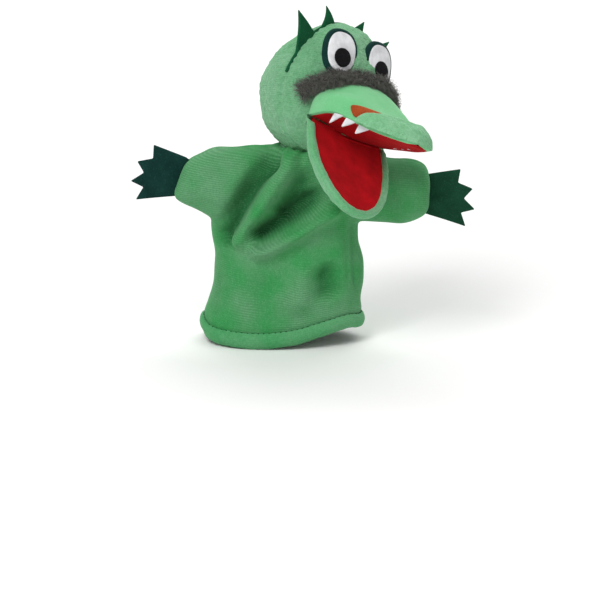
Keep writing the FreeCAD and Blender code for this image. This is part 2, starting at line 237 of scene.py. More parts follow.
def newGroup(name, inputs, outputs):
    # An empty shader group with named sockets
    group = bpy.data.node_groups.new(name, "ShaderNodeTree")
    kinds = {"colour": "NodeSocketColor", "value": "NodeSocketFloat", "vector": "NodeSocketVector"}
    for label, kind in inputs:
        group.interface.new_socket(label, in_out="INPUT", socket_type=kinds[kind])
    for label, kind in outputs:
        group.interface.new_socket(label, in_out="OUTPUT", socket_type=kinds[kind])
    return group, group.nodes.new("NodeGroupInput"), group.nodes.new("NodeGroupOutput")


def addNode(tree, kind, settings=None, values=None):
    # A node with its settings and the values of its inputs
    node = tree.nodes.new(kind)
    for label, value in (settings or {}).items():
        setattr(node, label, value)
    for label, value in (values or {}).items():
        node.inputs[label].default_value = value
    return node


def sumOf(tree, operation, a, b):
    # One maths node; a and b are sockets or numbers
    node = tree.nodes.new("ShaderNodeMath")
    node.operation = operation
    for socket, value in zip(node.inputs, (a, b)):
        if isinstance(value, (int, float)):
            socket.default_value = value
        else:
            tree.links.new(value, socket)
    return node.outputs[0]


def noiseOf(tree, vector, scale, detail=3.0, rough=0.55):
    # Noise over the object, from 0 to 1; the scale is a number or a socket
    node = addNode(tree, "ShaderNodeTexNoise", None, {"Detail": detail, "Roughness": rough})
    tree.links.new(vector, node.inputs["Vector"])
    if isinstance(scale, (int, float)):
        node.inputs["Scale"].default_value = scale
    else:
        tree.links.new(scale, node.inputs["Scale"])
    return node.outputs["Fac"]


def spread(tree, value, fromLow, fromHigh, toLow, toHigh):
    # A value moved from one range to another, and held at its ends
    node = addNode(tree, "ShaderNodeMapRange", {"clamp": True},
                   {"From Min": fromLow, "From Max": fromHigh, "To Min": toLow, "To Max": toHigh})
    tree.links.new(value, node.inputs["Value"])
    return node.outputs["Result"]


def mixOf(tree, share, a, b):
    # Two colours mixed by a share
    node = addNode(tree, "ShaderNodeMix", {"data_type": "RGBA"})
    for socket, value in ((node.inputs[0], share), (node.inputs[6], a), (node.inputs[7], b)):
        if isinstance(value, (int, float, tuple)):
            socket.default_value = value
        else:
            tree.links.new(value, socket)
    return node.outputs[2]


def makeVelourGroup():
    # Knitted pile: fine ribs along the pattern's second axis, patches where the nap lies over, a fine speckle
    # of fibre ends,
    # and painted shade in the folds: the fold shade mask holds back the brushed nap and mixes in the shade
    # colour
    group, given, out = newGroup("velourPile", [
        ("Pattern", "vector"), ("Place", "vector"), ("Pile", "colour"), ("Brushed", "colour"),
        ("Shade", "colour"), ("Ribs", "value"), ("Fluff", "value"), ("FoldShade", "value")],
        [("Color", "colour"), ("Roughness", "value"), ("Height", "value")])
    wobble = addNode(group, "ShaderNodeTexNoise", None, {"Scale": 240.0, "Detail": 2.0})
    group.links.new(given.outputs["Place"], wobble.inputs["Vector"])
    shifted = addNode(group, "ShaderNodeVectorMath", {"operation": "MULTIPLY_ADD"})
    group.links.new(wobble.outputs["Color"], shifted.inputs[0])
    shifted.inputs[1].default_value = (0.0004, 0.0004, 0.0004)
    group.links.new(given.outputs["Pattern"], shifted.inputs[2])
    ribs = addNode(group, "ShaderNodeTexWave", {"bands_direction": "Y", "wave_profile": "SIN"},
                   {"Scale": 418.0, "Distortion": 0.35, "Detail": 1.0, "Detail Scale": 3.0})
    group.links.new(shifted.outputs[0], ribs.inputs["Vector"])
    crossRibs = addNode(group, "ShaderNodeTexWave", {"bands_direction": "X", "wave_profile": "SIN"},
                        {"Scale": 350.0, "Distortion": 0.6, "Detail": 1.0, "Detail Scale": 3.0})
    group.links.new(shifted.outputs[0], crossRibs.inputs["Vector"])
    where = spread(group, noiseOf(group, given.outputs["Place"], 55.0, 2.0), 0.42, 0.62, 0.15, 1.0)
    knit = sumOf(group, "ADD", ribs.outputs["Fac"], sumOf(group, "MULTIPLY", crossRibs.outputs["Fac"], 0.18))
    knit = sumOf(group, "MULTIPLY", sumOf(group, "SUBTRACT", knit, 0.59), where)
    knit = sumOf(group, "MULTIPLY", knit, given.outputs["Ribs"])
    fibre = noiseOf(group, given.outputs["Place"], 2600.0, 2.0, 0.7)
    tufts = noiseOf(group, given.outputs["Place"], 900.0, 3.0, 0.65)
    nap = spread(group, noiseOf(group, given.outputs["Place"], 62.0, 3.0, 0.5), 0.36, 0.66, 0.0, 0.85)
    # Painted shade: the grey brushed nap is held out of the folds, so that the fold valleys stay a deeper
    # green
    nap = sumOf(group, "MULTIPLY", nap, sumOf(group, "SUBTRACT", 1.0, given.outputs["FoldShade"]))
    body = mixOf(group, nap, given.outputs["Pile"], given.outputs["Brushed"])
    # Painted shade: the colour is mixed toward the shade colour by up to 0.72 where the folds are deep
    deep = sumOf(group, "MULTIPLY", given.outputs["FoldShade"], 0.72)
    body = mixOf(group, deep, body, given.outputs["Shade"])
    dark = sumOf(group, "ADD", sumOf(group, "MULTIPLY", knit, -0.9), sumOf(group, "SUBTRACT", 0.52, fibre))
    between = sumOf(group, "SUBTRACT", 0.5, tufts)
    dark = sumOf(group, "ADD", dark, sumOf(group, "MULTIPLY", between, given.outputs["Fluff"]))
    darker = spread(group, dark, 0.0, 0.9, 0.0, 0.62)
    lighter = spread(group, dark, -0.6, 0.0, 0.16, 0.0)
    body = mixOf(group, darker, body, given.outputs["Shade"])
    body = mixOf(group, lighter, body, (0.62, 0.86, 0.66, 1.0))
    group.links.new(body, out.inputs["Color"])
    group.links.new(spread(group, tufts, 0.3, 0.7, 0.82, 0.98), out.inputs["Roughness"])
    height = sumOf(group, "ADD", sumOf(group, "MULTIPLY", knit, 0.8), sumOf(group, "MULTIPLY", fibre, 0.55))
    height = sumOf(group, "ADD", height, sumOf(group, "MULTIPLY", tufts, given.outputs["Fluff"]))
    group.links.new(height, out.inputs["Height"])
    return group


def makeFeltGroup():
    # Pressed wool: matted fibres, lighter flecks of loose ones, soft mottling
    group, given, out = newGroup("pressedFelt", [("Place", "vector"), ("Wool", "colour"), ("Lint", "colour")],
                                 [("Color", "colour"), ("Roughness", "value"), ("Height", "value")])
    matted = addNode(group, "ShaderNodeTexVoronoi", {"feature": "SMOOTH_F1"},
                     {"Scale": 1500.0, "Smoothness": 0.6})
    group.links.new(given.outputs["Place"], matted.inputs["Vector"])
    fibre = noiseOf(group, given.outputs["Place"], 1900.0, 4.0, 0.7)
    mottle = noiseOf(group, given.outputs["Place"], 180.0, 3.0, 0.6)
    lint = spread(group, fibre, 0.56, 0.80, 0.0, 0.45)
    mottled = spread(group, mottle, 0.3, 0.7, 0.0, 0.35)
    body = mixOf(group, mottled, given.outputs["Wool"], (0.0, 0.0, 0.0, 1.0))
    body = mixOf(group, lint, body, given.outputs["Lint"])
    group.links.new(body, out.inputs["Color"])
    group.links.new(spread(group, mottle, 0.3, 0.7, 0.86, 0.98), out.inputs["Roughness"])
    height = sumOf(group, "ADD", sumOf(group, "MULTIPLY", matted.outputs["Distance"], 0.5), fibre)
    group.links.new(height, out.inputs["Height"])
    return group


velourGroup = makeVelourGroup()
feltGroup = makeFeltGroup()


def clothMaterial(name, group, values, bump, sheen, sheenTint, patternFrom=None, foldShadeFrom=None):
    # Principled cloth fed by one of the groups; the pattern comes from an attribute, the cloth map or place,
    # and the painted fold shade from an attribute where one is named
    material = bpy.data.materials.new(name)
    material.use_nodes = True
    tree = material.node_tree
    shader = tree.nodes["Principled BSDF"]
    shader.inputs["Sheen Weight"].default_value = sheen
    shader.inputs["Sheen Roughness"].default_value = 0.45
    shader.inputs["Sheen Tint"].default_value = sheenTint
    shader.inputs["Specular IOR Level"].default_value = 0.15
    effect = tree.nodes.new("ShaderNodeGroup")
    effect.node_tree = group
    place = tree.nodes.new("ShaderNodeTexCoord")
    for label, value in values.items():
        effect.inputs[label].default_value = value
    tree.links.new(place.outputs["Object"], effect.inputs["Place"])
    if patternFrom == "cloth":
        uv = addNode(tree, "ShaderNodeUVMap", {"uv_map": "cloth"})
        scaled = addNode(tree, "ShaderNodeVectorMath", {"operation": "SCALE"}, {"Scale": mm})
        tree.links.new(uv.outputs["UV"], scaled.inputs[0])
        tree.links.new(scaled.outputs[0], effect.inputs["Pattern"])
    elif patternFrom:
        rest = addNode(tree, "ShaderNodeAttribute", {"attribute_name": patternFrom})
        tree.links.new(rest.outputs["Vector"], effect.inputs["Pattern"])
    # Painted shade: the fold shade attribute darkens the colour in the folds
    if foldShadeFrom:
        foldShade = addNode(tree, "ShaderNodeAttribute", {"attribute_name": foldShadeFrom})
        tree.links.new(foldShade.outputs["Fac"], effect.inputs["FoldShade"])
    tree.links.new(effect.outputs["Color"], shader.inputs["Base Color"])
    tree.links.new(effect.outputs["Roughness"], shader.inputs["Roughness"])
    relief = addNode(tree, "ShaderNodeBump", None, {"Strength": 1.0, "Distance": bump * mm})
    tree.links.new(effect.outputs["Height"], relief.inputs["Height"])
    tree.links.new(relief.outputs["Normal"], shader.inputs["Normal"])
    return material


velours = {
    # pile, brushed and shade colours (the shade colour is also painted into the folds as shade), strength of
    # ribs and fluff, height of the pile in mm, sheen, its tint, and where the pattern and the painted fold
    # shade are read from
    "bodyVelour": ("348B4B", "5C9068", "0E3F20", 0.46, 0.55, 0.15, 0.30, "A8E0B4", "weave", "foldShade"),
    "hemVelour": ("43935A", "5B9A6B", "0E3F20", 0.15, 0.7, 0.20, 0.30, "A8E0B4", "cloth", None),
    "headVelour": ("5FA371", "7BAE88", "1E5632", 0.30, 1.5, 0.45, 0.45, "C8F0D0", "cloth", None),
    "snoutVelour": ("62B678", "7CC08C", "2A6E40", 0.12, 0.35, 0.14, 0.45, "C8F0D0", "cloth", None),
    "noseVelour": ("6AB07C", "90C69D", "225C36", 0.1, 1.5, 0.45, 0.5, "C8F0D0", "cloth", None),
    "jawVelour": ("5AA26D", "74AD83", "1E5632", 0.3, 1.2, 0.30, 0.45, "C8F0D0", "cloth", None),
}
felts = {
    # wool and lint colours, height of the fibres in mm, sheen and its tint
    "darkFelt": ("0C5130", "3E8A62", 0.10, 0.25, "7FBF9F"),
    "rimFeltAndShadedHand": ("0B332E", "2F6A60", 0.10, 0.2, "7FA8A0"),
    # The eye rims' dark felt, also put on the right hand as painted shade
    "handFelt": ("14452F", "3C7A5C", 0.10, 0.25, "7FBF9F"),
    "whiteFelt": ("EDEDF0", "FFFFFF", 0.08, 0.2, "FFFFFF"),
    "blackFelt": ("101012", "3A3A40", 0.08, 0.2, "606068"),
    "nostrilFelt": ("A8481E", "D08050", 0.08, 0.25, "E0B090"),
    "mouthFelt": ("B80814", "D02A32", 0.03, 0.05, "FF5050"),
    "threadGreen": ("0F4A2A", "2F7A50", 0.03, 0.1, "7FBF9F"),
}
cloth = {}
for name, (pile, brushed, shade, ribs, fluff, bump, sheen, tint, patternFrom, foldShadeFrom) in velours.items():
    values = {"Pile": colour(pile), "Brushed": colour(brushed), "Shade": colour(shade),
              "Ribs": ribs, "Fluff": fluff}
    cloth[name] = clothMaterial(name, velourGroup, values, bump, sheen, colour(tint), patternFrom, foldShadeFrom)
for name, (wool, lint, bump, sheen, tint) in felts.items():
    values = {"Wool": colour(wool), "Lint": colour(lint)}
    cloth[name] = clothMaterial(name, feltGroup, values, bump, sheen, colour(tint))


def furMaterial():
    # Hair: dark grey-brown that lightens from root to tip
    material = bpy.data.materials.new("browFur")
    material.use_nodes = True
    tree = material.node_tree
    shader = tree.nodes["Principled BSDF"]
    shader.inputs["Specular IOR Level"].default_value = 0.35
    shader.inputs["Sheen Weight"].default_value = 0.2
    tip = addNode(tree, "ShaderNodeAttribute", {"attribute_name": "tip"})
    place = tree.nodes.new("ShaderNodeTexCoord")
    patches = noiseOf(tree, place.outputs["Object"], 420.0, 2.0)
    share = sumOf(tree, "MULTIPLY", tip.outputs["Fac"], spread(tree, patches, 0.3, 0.7, 0.35, 1.0))
    tree.links.new(mixOf(tree, share, colour("2C2A27"), colour("77756C")), shader.inputs["Base Color"])
    tree.links.new(spread(tree, patches, 0.3, 0.7, 0.45, 0.65), shader.inputs["Roughness"])
    return material


cloth["browFur"] = furMaterial()
print("materials made")


def finish(piece, material, body, nodes=()):
    # Give a piece its finish, its body and the solids that it stands for
    piece.data.materials.clear()
    piece.data.materials.append(material)
    if body:
        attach(piece, body)
    if nodes:
        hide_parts(*nodes)
    return piece


# Sleeve
sleeve = {
    # height, left edge, right edge, half depth of the sleeve
    "levels": [
        (-1.0, -28.4, 28.2, 16.8), (4.6, -28.3, 28.6, 17.1), (10.7, -26.3, 28.1, 16.9),
        (18.5, -24.3, 29.2, 16.4), (26.0, -23.9, 28.7, 15.9), (33.0, -24.6, 27.2, 15.6),
        (40.0, -25.0, 26.8, 15.4), (47.0, -23.5, 27.5, 15.2), (54.0, -19.5, 27.2, 14.9),
        (59.0, -14.5, 26.2, 14.3), (62.6, -8.0, 24.6, 13.6), (65.0, -3.6, 22.4, 12.8),
        (66.0, -2.0, 20.6, 12.0)],
    # how far along, lowest, highest and half depth of each arm
    "rightArm": [
        (-2.0, 38.0, 66.0, 11.5), (-10.0, 34.5, 66.0, 12.2), (-18.0, 35.5, 65.6, 12.0),
        (-24.0, 40.0, 65.2, 11.2), (-29.0, 43.8, 64.4, 9.8), (-33.0, 46.2, 63.0, 8.4),
        (-35.2, 47.6, 61.6, 6.8), (-36.3, 49.4, 59.6, 4.6)],
    "leftArm": [
        (16.0, 41.0, 62.0, 11.5), (24.0, 39.6, 62.4, 12.2), (32.0, 39.0, 62.0, 12.0),
        (40.0, 38.7, 61.4, 11.2), (46.0, 39.2, 60.8, 10.4), (49.6, 40.3, 59.8, 9.3),
        (51.4, 42.0, 58.2, 7.8), (52.4, 44.6, 55.6, 5.0)],
    "rightArmLean": 0.42, "squareness": 2.35, "armSquareness": 2.3,
    "grain": 0.8, "smoothing": 10, "wall": 1.4,
    "cutLevel": 4.4, "neck": (10.3, 1.5, 62.0), "neckRadius": 12.0, "gathers": 22,
}
# How far the hem drops at each place across the front
hemDrop = [(-30, 0.0), (-28.4, -0.3), (-26, -2.6), (-18, -3.5), (-7, -3.7),
           (4.6, -2.2), (12.9, 0.2), (22.9, 2.4), (28.4, 0.9), (30, 0.6)]
# Folds across the chest: a line of (across, height), how deep, how wide, and how long the ends fade
folds = [
    ([(1.0, 67.0), (-8.0, 57.7), (-13.7, 48.4), (-19.0, 38.4), (-23.5, 31.5)], -6.0, 3.4, 0.14),
    ([(6.0, 67.0), (-1.5, 56.5), (-8.4, 46.0), (-13.8, 38.0), (-18.5, 32.5)], 3.6, 3.1, 0.12),
    ([(17.0, 56.0), (7.4, 46.9), (0.2, 41.9), (-6.5, 38.2), (-12.5, 34.4)], -7.2, 3.6, 0.20),
    ([(12.0, 62.0), (6.0, 54.0), (1.5, 47.0), (-2.0, 43.0)], -4.2, 3.8, 0.26),
    ([(23.0, 49.0), (11.0, 42.0), (3.0, 36.9), (-4.5, 32.6), (-12.5, 30.6)], 5.2, 2.9, 0.14),
    ([(9.5, 29.0), (6.8, 19.6), (5.0, 8.0)], 2.9, 4.6, 0.30),
    ([(13.5, 27.5), (16.2, 19.6), (17.0, 12.0)], -3.8, 4.4, 0.32),
    ([(-6.0, 27.0), (-8.0, 17.0), (-9.0, 9.0)], -0.7, 4.8, 0.35),
    ([(24.6, 43.0), (25.4, 30.0), (26.6, 12.0)], -0.9, 0.9, 0.20),
    ([(22.6, 40.0), (23.2, 28.0), (24.0, 15.0)], -0.5, 1.0, 0.25),
    ([(-21.0, 27.0), (-23.5, 14.0), (-24.0, 7.0)], -0.7, 1.5, 0.25),
    ([(-20.0, 62.0), (-27.0, 57.0), (-33.0, 54.0)], -0.5, 2.6, 0.30),
    ([(-17.0, 47.0), (-24.0, 46.0), (-31.0, 48.5)], -0.6, 2.4, 0.30),
]
backFolds = [
    ([(-16.0, 60.0), (-12.0, 47.0), (-4.0, 36.0)], -2.0, 3.2, 0.25),
    ([(26.0, 58.0), (19.0, 45.0), (12.0, 33.0)], -2.2, 3.2, 0.25),
    ([(-3.0, 56.0), (4.0, 42.0), (3.0, 30.0)], 1.3, 4.2, 0.30),
    ([(-12.0, 26.0), (-14.0, 12.0)], -0.9, 4.0, 0.35),
    ([(12.0, 24.0), (15.0, 10.0)], -1.1, 4.4, 0.35),
]


def ovalRing(count, squareness):
    # Unit ring: cosine and sine raised to 2 / squareness, which squares off an ellipse a little
    turn = np.linspace(0, 2 * math.pi, count, endpoint=False)
    c, s = np.cos(turn), np.sin(turn)
    return np.sign(c) * np.abs(c) ** (2 / squareness), np.sign(s) * np.abs(s) ** (2 / squareness)


def sleeveRings(heights, inset=0.0, count=220):
    # Rings of the sleeve at each height: its left and right edges and half depth follow the levels
    levels = smoothLine(sleeve["levels"], 300)
    order = np.argsort(levels[:, 0])
    left, right, depth = (np.interp(heights, levels[order, 0], levels[order, k])[:, None] for k in (1, 2, 3))
    c, s = ovalRing(count, sleeve["squareness"])
    x = (left + right) / 2 + ((right - left) / 2 - inset) * c
    return spot(x, (depth - inset) * s, heights[:, None])


def armRings(sections, lean, tipOut):
    # Rings along an arm from its sections; the last ones lean so that the cuff is cut on the slant
    line = smoothLine(sections, 46)
    c, s = ovalRing(90, sleeve["armSquareness"])
    middle, half = (line[:, 1:2] + line[:, 2:3]) / 2, (line[:, 2:3] - line[:, 1:2]) / 2
    z = middle + half * c * tipOut
    slant = smoothStep(np.abs(line[:, :1]), 22, 35) * lean
    return spot(line[:, :1] + slant * (z - middle), line[:, 3:4] * s, z)


def droop(points):
    # The hem hangs lower in front where the hand pushes it, and the drop fades up the sleeve
    drop = smoothCurve(points[..., 0], hemDrop)
    front = 0.12 + 0.88 * smoothStep(-points[..., 1], -7, 5)
    return drop * front * (1 - smoothStep(points[..., 2], 1, 24))


def foldRelief(points, lines, front):
    # Each fold is a bell curve of the distance to its line, faded at both ends
    relief = np.zeros(len(points))
    flat = points[:, [0, 2]]
    for line, deep, wide, fade in lines:
        way = smoothLine(line, 60)
        gap = np.linalg.norm(flat[:, None, :] - way[None, :, :], axis=2)
        nearest = gap.argmin(axis=1)
        share = nearest / 59
        ends = smoothStep(share, 0, fade) * smoothStep(1 - share, 0, fade)
        relief += deep * np.exp(-(gap.min(axis=1) / wide) ** 2) * ends
    facing = -points[:, 1] if front else points[:, 1]
    return relief * smoothStep(facing, 0.5, 8.0)


def meshPoints(mesh, what="co"):
    # The vertices in millimetres, or their normals
    values = np.empty(len(mesh.vertices) * 3)
    if what == "co":
        mesh.vertices.foreach_get("co", values)
        values /= mm
    else:
        mesh.vertex_normals.foreach_get("vector", values)
    return values.reshape(-1, 3)


def settle(piece, points):
    # Move the vertices to new places
    piece.data.vertices.foreach_set("co", (points * mm).ravel())
    piece.data.update()


def applied(piece):
    # Bake the modifiers into the mesh
    ready = piece.evaluated_get(bpy.context.evaluated_depsgraph_get())
    mesh = bpy.data.meshes.new_from_object(ready)
    piece.modifiers.clear()
    piece.data = mesh
    return piece


def fromWork(name, work):
    # A new piece from an edited mesh
    mesh = bpy.data.meshes.new(name)
    work.to_mesh(mesh)
    work.free()
    piece = bpy.data.objects.new(name, mesh)
    bpy.context.scene.collection.objects.link(piece)
    return piece


def joined(name, pieces):
    # One piece made of several meshes, which are left unmerged
    work = bmesh.new()
    for piece in pieces:
        work.from_mesh(piece.data)
        bpy.data.objects.remove(piece)
    bmesh.ops.recalc_face_normals(work, faces=work.faces)
    return fromWork(name, work)


def cutBehind(work, point, way):
    # Remove what lies behind a plane, given by a point on it and the way to the side that is kept
    bmesh.ops.bisect_plane(work, geom=work.verts[:] + work.edges[:] + work.faces[:], dist=1e-7,
                           plane_co=point, plane_no=way, clear_inner=True)


def makeBody():
    # Sleeve and arms are closed tubes, made into one skin, smoothed where they join, and then folded
    heights = np.linspace(-1.0, 66.0, 60)
    tube = sleeveRings(heights)
    parts = [gridPiece("tube", tube, startPole=True, endPole=True)]
    for sections, lean, way in (("rightArm", sleeve["rightArmLean"], -1), ("leftArm", 0.0, 1)):
        parts.append(gridPiece("tube", armRings(sleeve[sections], lean, way), startPole=True, endPole=True))
    body = joined("body", parts)
    skin = body.modifiers.new("skin", "REMESH")
    skin.mode = "VOXEL"
    skin.voxel_size = sleeve["grain"] * mm
    skin.use_smooth_shade = True
    eased = body.modifiers.new("eased", "SMOOTH")
    eased.factor, eased.iterations = 0.5, sleeve["smoothing"]
    bpy.context.view_layer.update()
    applied(body)
    work = bmesh.new()
    work.from_mesh(body.data)
    cutBehind(work, (0, 0, sleeve["cutLevel"] * mm), (0, 0, 1))
    neck = np.array(sleeve["neck"])
    top = [v for v in work.verts if v.co.z > 63.6 * mm
           and math.hypot(v.co.x - neck[0] * mm, v.co.y - neck[1] * mm) < (sleeve["neckRadius"] - 2) * mm]
    bmesh.ops.delete(work, geom=top, context="VERTS")
    work.to_mesh(body.data)
    work.free()
    rest = meshPoints(body.data)
    normal = meshPoints(body.data, "normal")
    relief = foldRelief(rest, folds, True) + foldRelief(rest, backFolds, False)
    relief += 0.35 * lumps(rest, 15.0, 3) * smoothStep(rest[:, 2], 5, 14)
    # The cloth is drawn in along the stitches of the hem and along the side seams
    relief -= 0.5 * np.exp(-((rest[:, 2] - 5.0) / 0.9) ** 2)
    sideSeam = np.exp(-(rest[:, 1] / 0.7) ** 2) * smoothStep(rest[:, 2], 6, 10)
    relief -= 0.35 * sideSeam
    # Round the neck the cloth is gathered
    around = np.arctan2(rest[:, 1] - neck[1], rest[:, 0] - neck[0])
    near = np.hypot(rest[:, 0] - neck[0], rest[:, 1] - neck[1])
    byNeck = smoothStep(rest[:, 2], 60, 65) * smoothStep(20 - near, 0, 6)
    relief += 0.45 * np.sin(sleeve["gathers"] * around + 0.7) * byNeck
    moved = rest + normal * relief[:, None]
    moved[:, 2] += droop(rest)
    settle(body, moved)
    # Painted shade: the depth of the folds and drawn-in seams, down to 5.5 mm, becomes a mask that darkens
    # the velour there
    foldShade = body.data.attributes.new("foldShade", "FLOAT", "POINT")
    foldShade.data.foreach_set("value", np.clip(-relief / 5.5, 0, 1).astype(np.float32))
    weave = body.data.attributes.new("weave", "FLOAT_VECTOR", "POINT")
    # The ribs bend where the cloth is drawn into the folds
    pattern = spot(rest[:, 0] + rest[:, 1], rest[:, 2] + 0.25 * relief + 0.10 * rest[:, 0], rest[:, 1]) * mm
    weave.data.foreach_set("vector", pattern.astype(np.float32).ravel())
    return body


def cutOff(source, name, planes):
    # A copy of the body past each plane, given by a point on it and the way to the side that is kept
    work = bmesh.new()
    work.from_mesh(source.data)
    for point, way in planes:
        cutBehind(work, point, way)
    return fromWork(name, work)


def shadeAlike(piece, points, normals):
    # Borrow the whole body's normals, so that the shading runs on across a cut
    tree = KDTree(len(points))
    for number, point in enumerate(points):
        tree.insert(point, number)
    tree.balance()
    near = [tree.find(v.co)[1] for v in piece.data.vertices]
    piece.data.normals_split_custom_set_from_vertices(normals[near].tolist())


body = makeBody()
bodyPoints = meshPoints(body.data) * mm
bodyNormals = meshPoints(body.data, "normal")
# Each arm's cloth starts on a plane square to the way its bend runs, from start to end, in metres. The
# right one slopes, so that the side of the sleeve below the arm stays with the sleeve
armBends = {
    "right": ((-0.0190, 0, 0.0462), (-0.0284, 0, 0.0522)),
    "left": ((0.0307, 0, 0.0500), (0.0400, 0, 0.0500)),
}
bendWays = {side: tuple(b - a for a, b in zip(start, end)) for side, (start, end) in armBends.items()}
bendBack = {side: tuple(-part for part in way) for side, way in bendWays.items()}
sleeveCloth = cutOff(body, "sleeveCloth", [(armBends[side][0], bendBack[side]) for side in armBends])
rightArm = cutOff(body, "rightArmCloth", [(armBends["right"][0], bendWays["right"])])
leftArm = cutOff(body, "leftArmCloth", [(armBends["left"][0], bendWays["left"])])
for piece in (sleeveCloth, rightArm, leftArm):
    piece.data.polygons.foreach_set("use_smooth", [True] * len(piece.data.polygons))
    shadeAlike(piece, bodyPoints, bodyNormals)
bpy.data.objects.remove(body)
finish(sleeveCloth, cloth["bodyVelour"], "sleeve", ("sleeve_front_panel", "sleeve_back_panel"))
finish(rightArm, cloth["bodyVelour"], None, ("arm_skin_right", "arm_stuffing_right"))
finish(leftArm, cloth["bodyVelour"], None, ("arm_skin_left", "arm_stuffing_left"))
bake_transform(rightArm)
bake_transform(leftArm)
print("sleeve and arms made")


# Hem: the cloth turned up inside, with a full rounded fold at the bottom
hem = {
    "height": 5.1, "turnedUp": 9.0, "plump": 0.75, "stitchUp": 5.0, "stitches": 74, "stitchLong": 1.35,
    "threadRadius": 0.2,
}


def makeHem():
    # The profile goes down the outside, round the fold and up the inside, bulging between the stitches
    turn = np.concatenate([np.linspace(0, 0.42, 12), np.linspace(0.44, 0.56, 9), np.linspace(0.58, 1, 16)])
    outer = smoothStep(turn, 0.40, 0.60)
    inside = -0.3 + outer * (sleeve["wall"] * 1.7)
    bulge = hem["plump"] * np.sin(np.clip(turn / 0.5, 0, 1) * math.pi * 0.93) - 0.45 * (turn < 0.05)
    high = np.where(turn < 0.5, (1 - turn / 0.5) * hem["height"], (turn - 0.5) / 0.5 * hem["turnedUp"])
    high = high - 0.55 * np.exp(-((turn - 0.5) / 0.07) ** 2)
    rings = []
    for height, gap, fat in zip(high, inside, bulge):
        ring = sleeveRings(np.array([max(height, -1.0)]), gap - fat * (height < 5.2) * (gap < 1.0), 260)[0]
        ring[:, 2] = height
        rings.append(ring)
    grid = np.array(rings)
    grid[..., 2] += droop(grid)
    grid += 0.10 * lumps(grid, 4.0, 8)[..., None]
    return gridPiece("hemTurnUp", grid[::-1])


def stitchRow(name, line, outward):
    # Short threads laid along a closed line, each sinking into the cloth at both ends
    count, length, radius = hem["stitches"], hem["stitchLong"], hem["threadRadius"]
    whole = np.vstack([line, line[:1]])
    steps = np.concatenate([[0], np.cumsum(np.linalg.norm(np.diff(whole, axis=0), axis=1))])
    starts = np.arange(count) / count * steps[-1] + random.uniform(-0.12, 0.12, count)
    u = np.linspace(-0.5, 0.5, 6)
    where = starts[:, None] + u * length * random.uniform(0.85, 1.1, (count, 1))
    at = np.stack([np.interp(where % steps[-1], steps, whole[:, k]) for k in range(3)], axis=-1)
    outer = np.vstack([outward, outward[:1]])
    out = np.stack([np.interp(where % steps[-1], steps, outer[:, k]) for k in range(3)], axis=-1)
    out = unit(out)
    at = at + out * (radius * 0.9 - 0.55 * (2 * np.abs(u)) ** 3)[None, :, None]
    way = np.gradient(at, axis=1)
    way = unit(way)
    side = np.cross(way, out)
    turn = np.linspace(0, 2 * math.pi, 6, endpoint=False)
    about = np.cos(turn)[:, None] * out[:, :, None] + np.sin(turn)[:, None] * side[:, :, None]
    ring = at[:, :, None] + radius * about
    single = gridFaces(6, 6, True)
    faces = (single[None] + (np.arange(count) * 36)[:, None, None]).reshape(-1, 4)
    return welded(putMesh(name, ring.reshape(-1, 3), faces.tolist()), 0.0001)


def makeStitches():
    # A row of stitches round the sleeve, just above the fold of the hem
    ring = sleeveRings(np.array([hem["stitchUp"]]), 0.42, 400)[0]
    ring[:, 2] += droop(ring)
    out = np.cross(np.roll(ring, -1, axis=0) - np.roll(ring, 1, axis=0), np.array([0, 0, 1.0]))
    return stitchRow("hemStitches", ring, out)


def makeInside():
    # The wrong side of the cloth, seen from below
    heights = np.linspace(1.0, 61.0, 40)
    grid = sleeveRings(heights, sleeve["wall"] + 1.0, 160)
    flat = grid.reshape(-1, 3)
    relief = np.minimum(foldRelief(flat, folds, True) + foldRelief(flat, backFolds, False), 0)
    grid = grid + gridNormals(grid, True) * relief.reshape(grid.shape[:2])[..., None]
    grid[..., 2] += droop(grid)
    neck = np.array(sleeve["neck"])
    close = smoothStep(heights, 50, 61)[:, None, None]
    toNeck = np.append(neck[:2], 0) * close * 0.25
    grid = grid * (1 - close * 0.25) + toNeck + np.array([0, 0, 1]) * grid * close * 0.25
    return gridPiece("sleeveInside", grid, inward=True)


hemFold = finish(makeHem(), cloth["hemVelour"], "sleeve", ("hem_turn_up",))
hemThread = finish(makeStitches(), cloth["threadGreen"], "sleeve", ("hem_stitching",))
inside = finish(makeInside(), cloth["bodyVelour"], "sleeve", ())
print("hem made")


# Head
# In the head's own axes x runs to the puppet's left, -y forward and z up
head = {
    "centre": (13.9, 2.0, 83.7), "turned": 40.0, "raised": 5.0, "tilted": 22.0,
    "radius": 21.9, "browRadius": 15.9, "browForward": 4.4, "browUp": 10.3, "blend": 5.0,
    "seam": 3.4, "seamDeep": 0.75, "hingeForward": 17.9, "hingeDown": 12.7,
}
headTurn = turned("z", head["turned"]) @ turned("x", -head["raised"]) @ turned("y", head["tilted"])
hingePoint = np.array([0, -head["hingeForward"], -head["hingeDown"]])


def inHead(points):
    # From the head's own axes to the puppet's
    return np.asarray(points) @ headTurn.T + np.array(head["centre"])


def atHinge(points):
    # From the mouth's axes, with the fold line as x, to the puppet's
    return inHead(np.asarray(points) + hingePoint)


def headDistance(points):
    # Two balls joined by a smooth union: less by h * h * k / 4 where their surfaces come within k
    a = np.linalg.norm(points, axis=-1) - head["radius"]
    brow = np.array([0, -head["browForward"], head["browUp"]])
    b = np.linalg.norm(points - brow, axis=-1) - head["browRadius"]
    k = head["blend"]
    h = np.maximum(k - np.abs(a - b), 0) / k
    return np.minimum(a, b) - h * h * k / 4


def headSurface(ways, start):
    # The reach of the head's surface along each way from a point inside, by halving
    low, high = np.full(ways.shape[:-1], 4.0), np.full(ways.shape[:-1], 48.0)
    for step in range(26):
        reach = (low + high) / 2
        within = headDistance(start + ways * reach[..., None]) < 0
        low, high = np.where(within, reach, low), np.where(within, high, reach)
    return reach


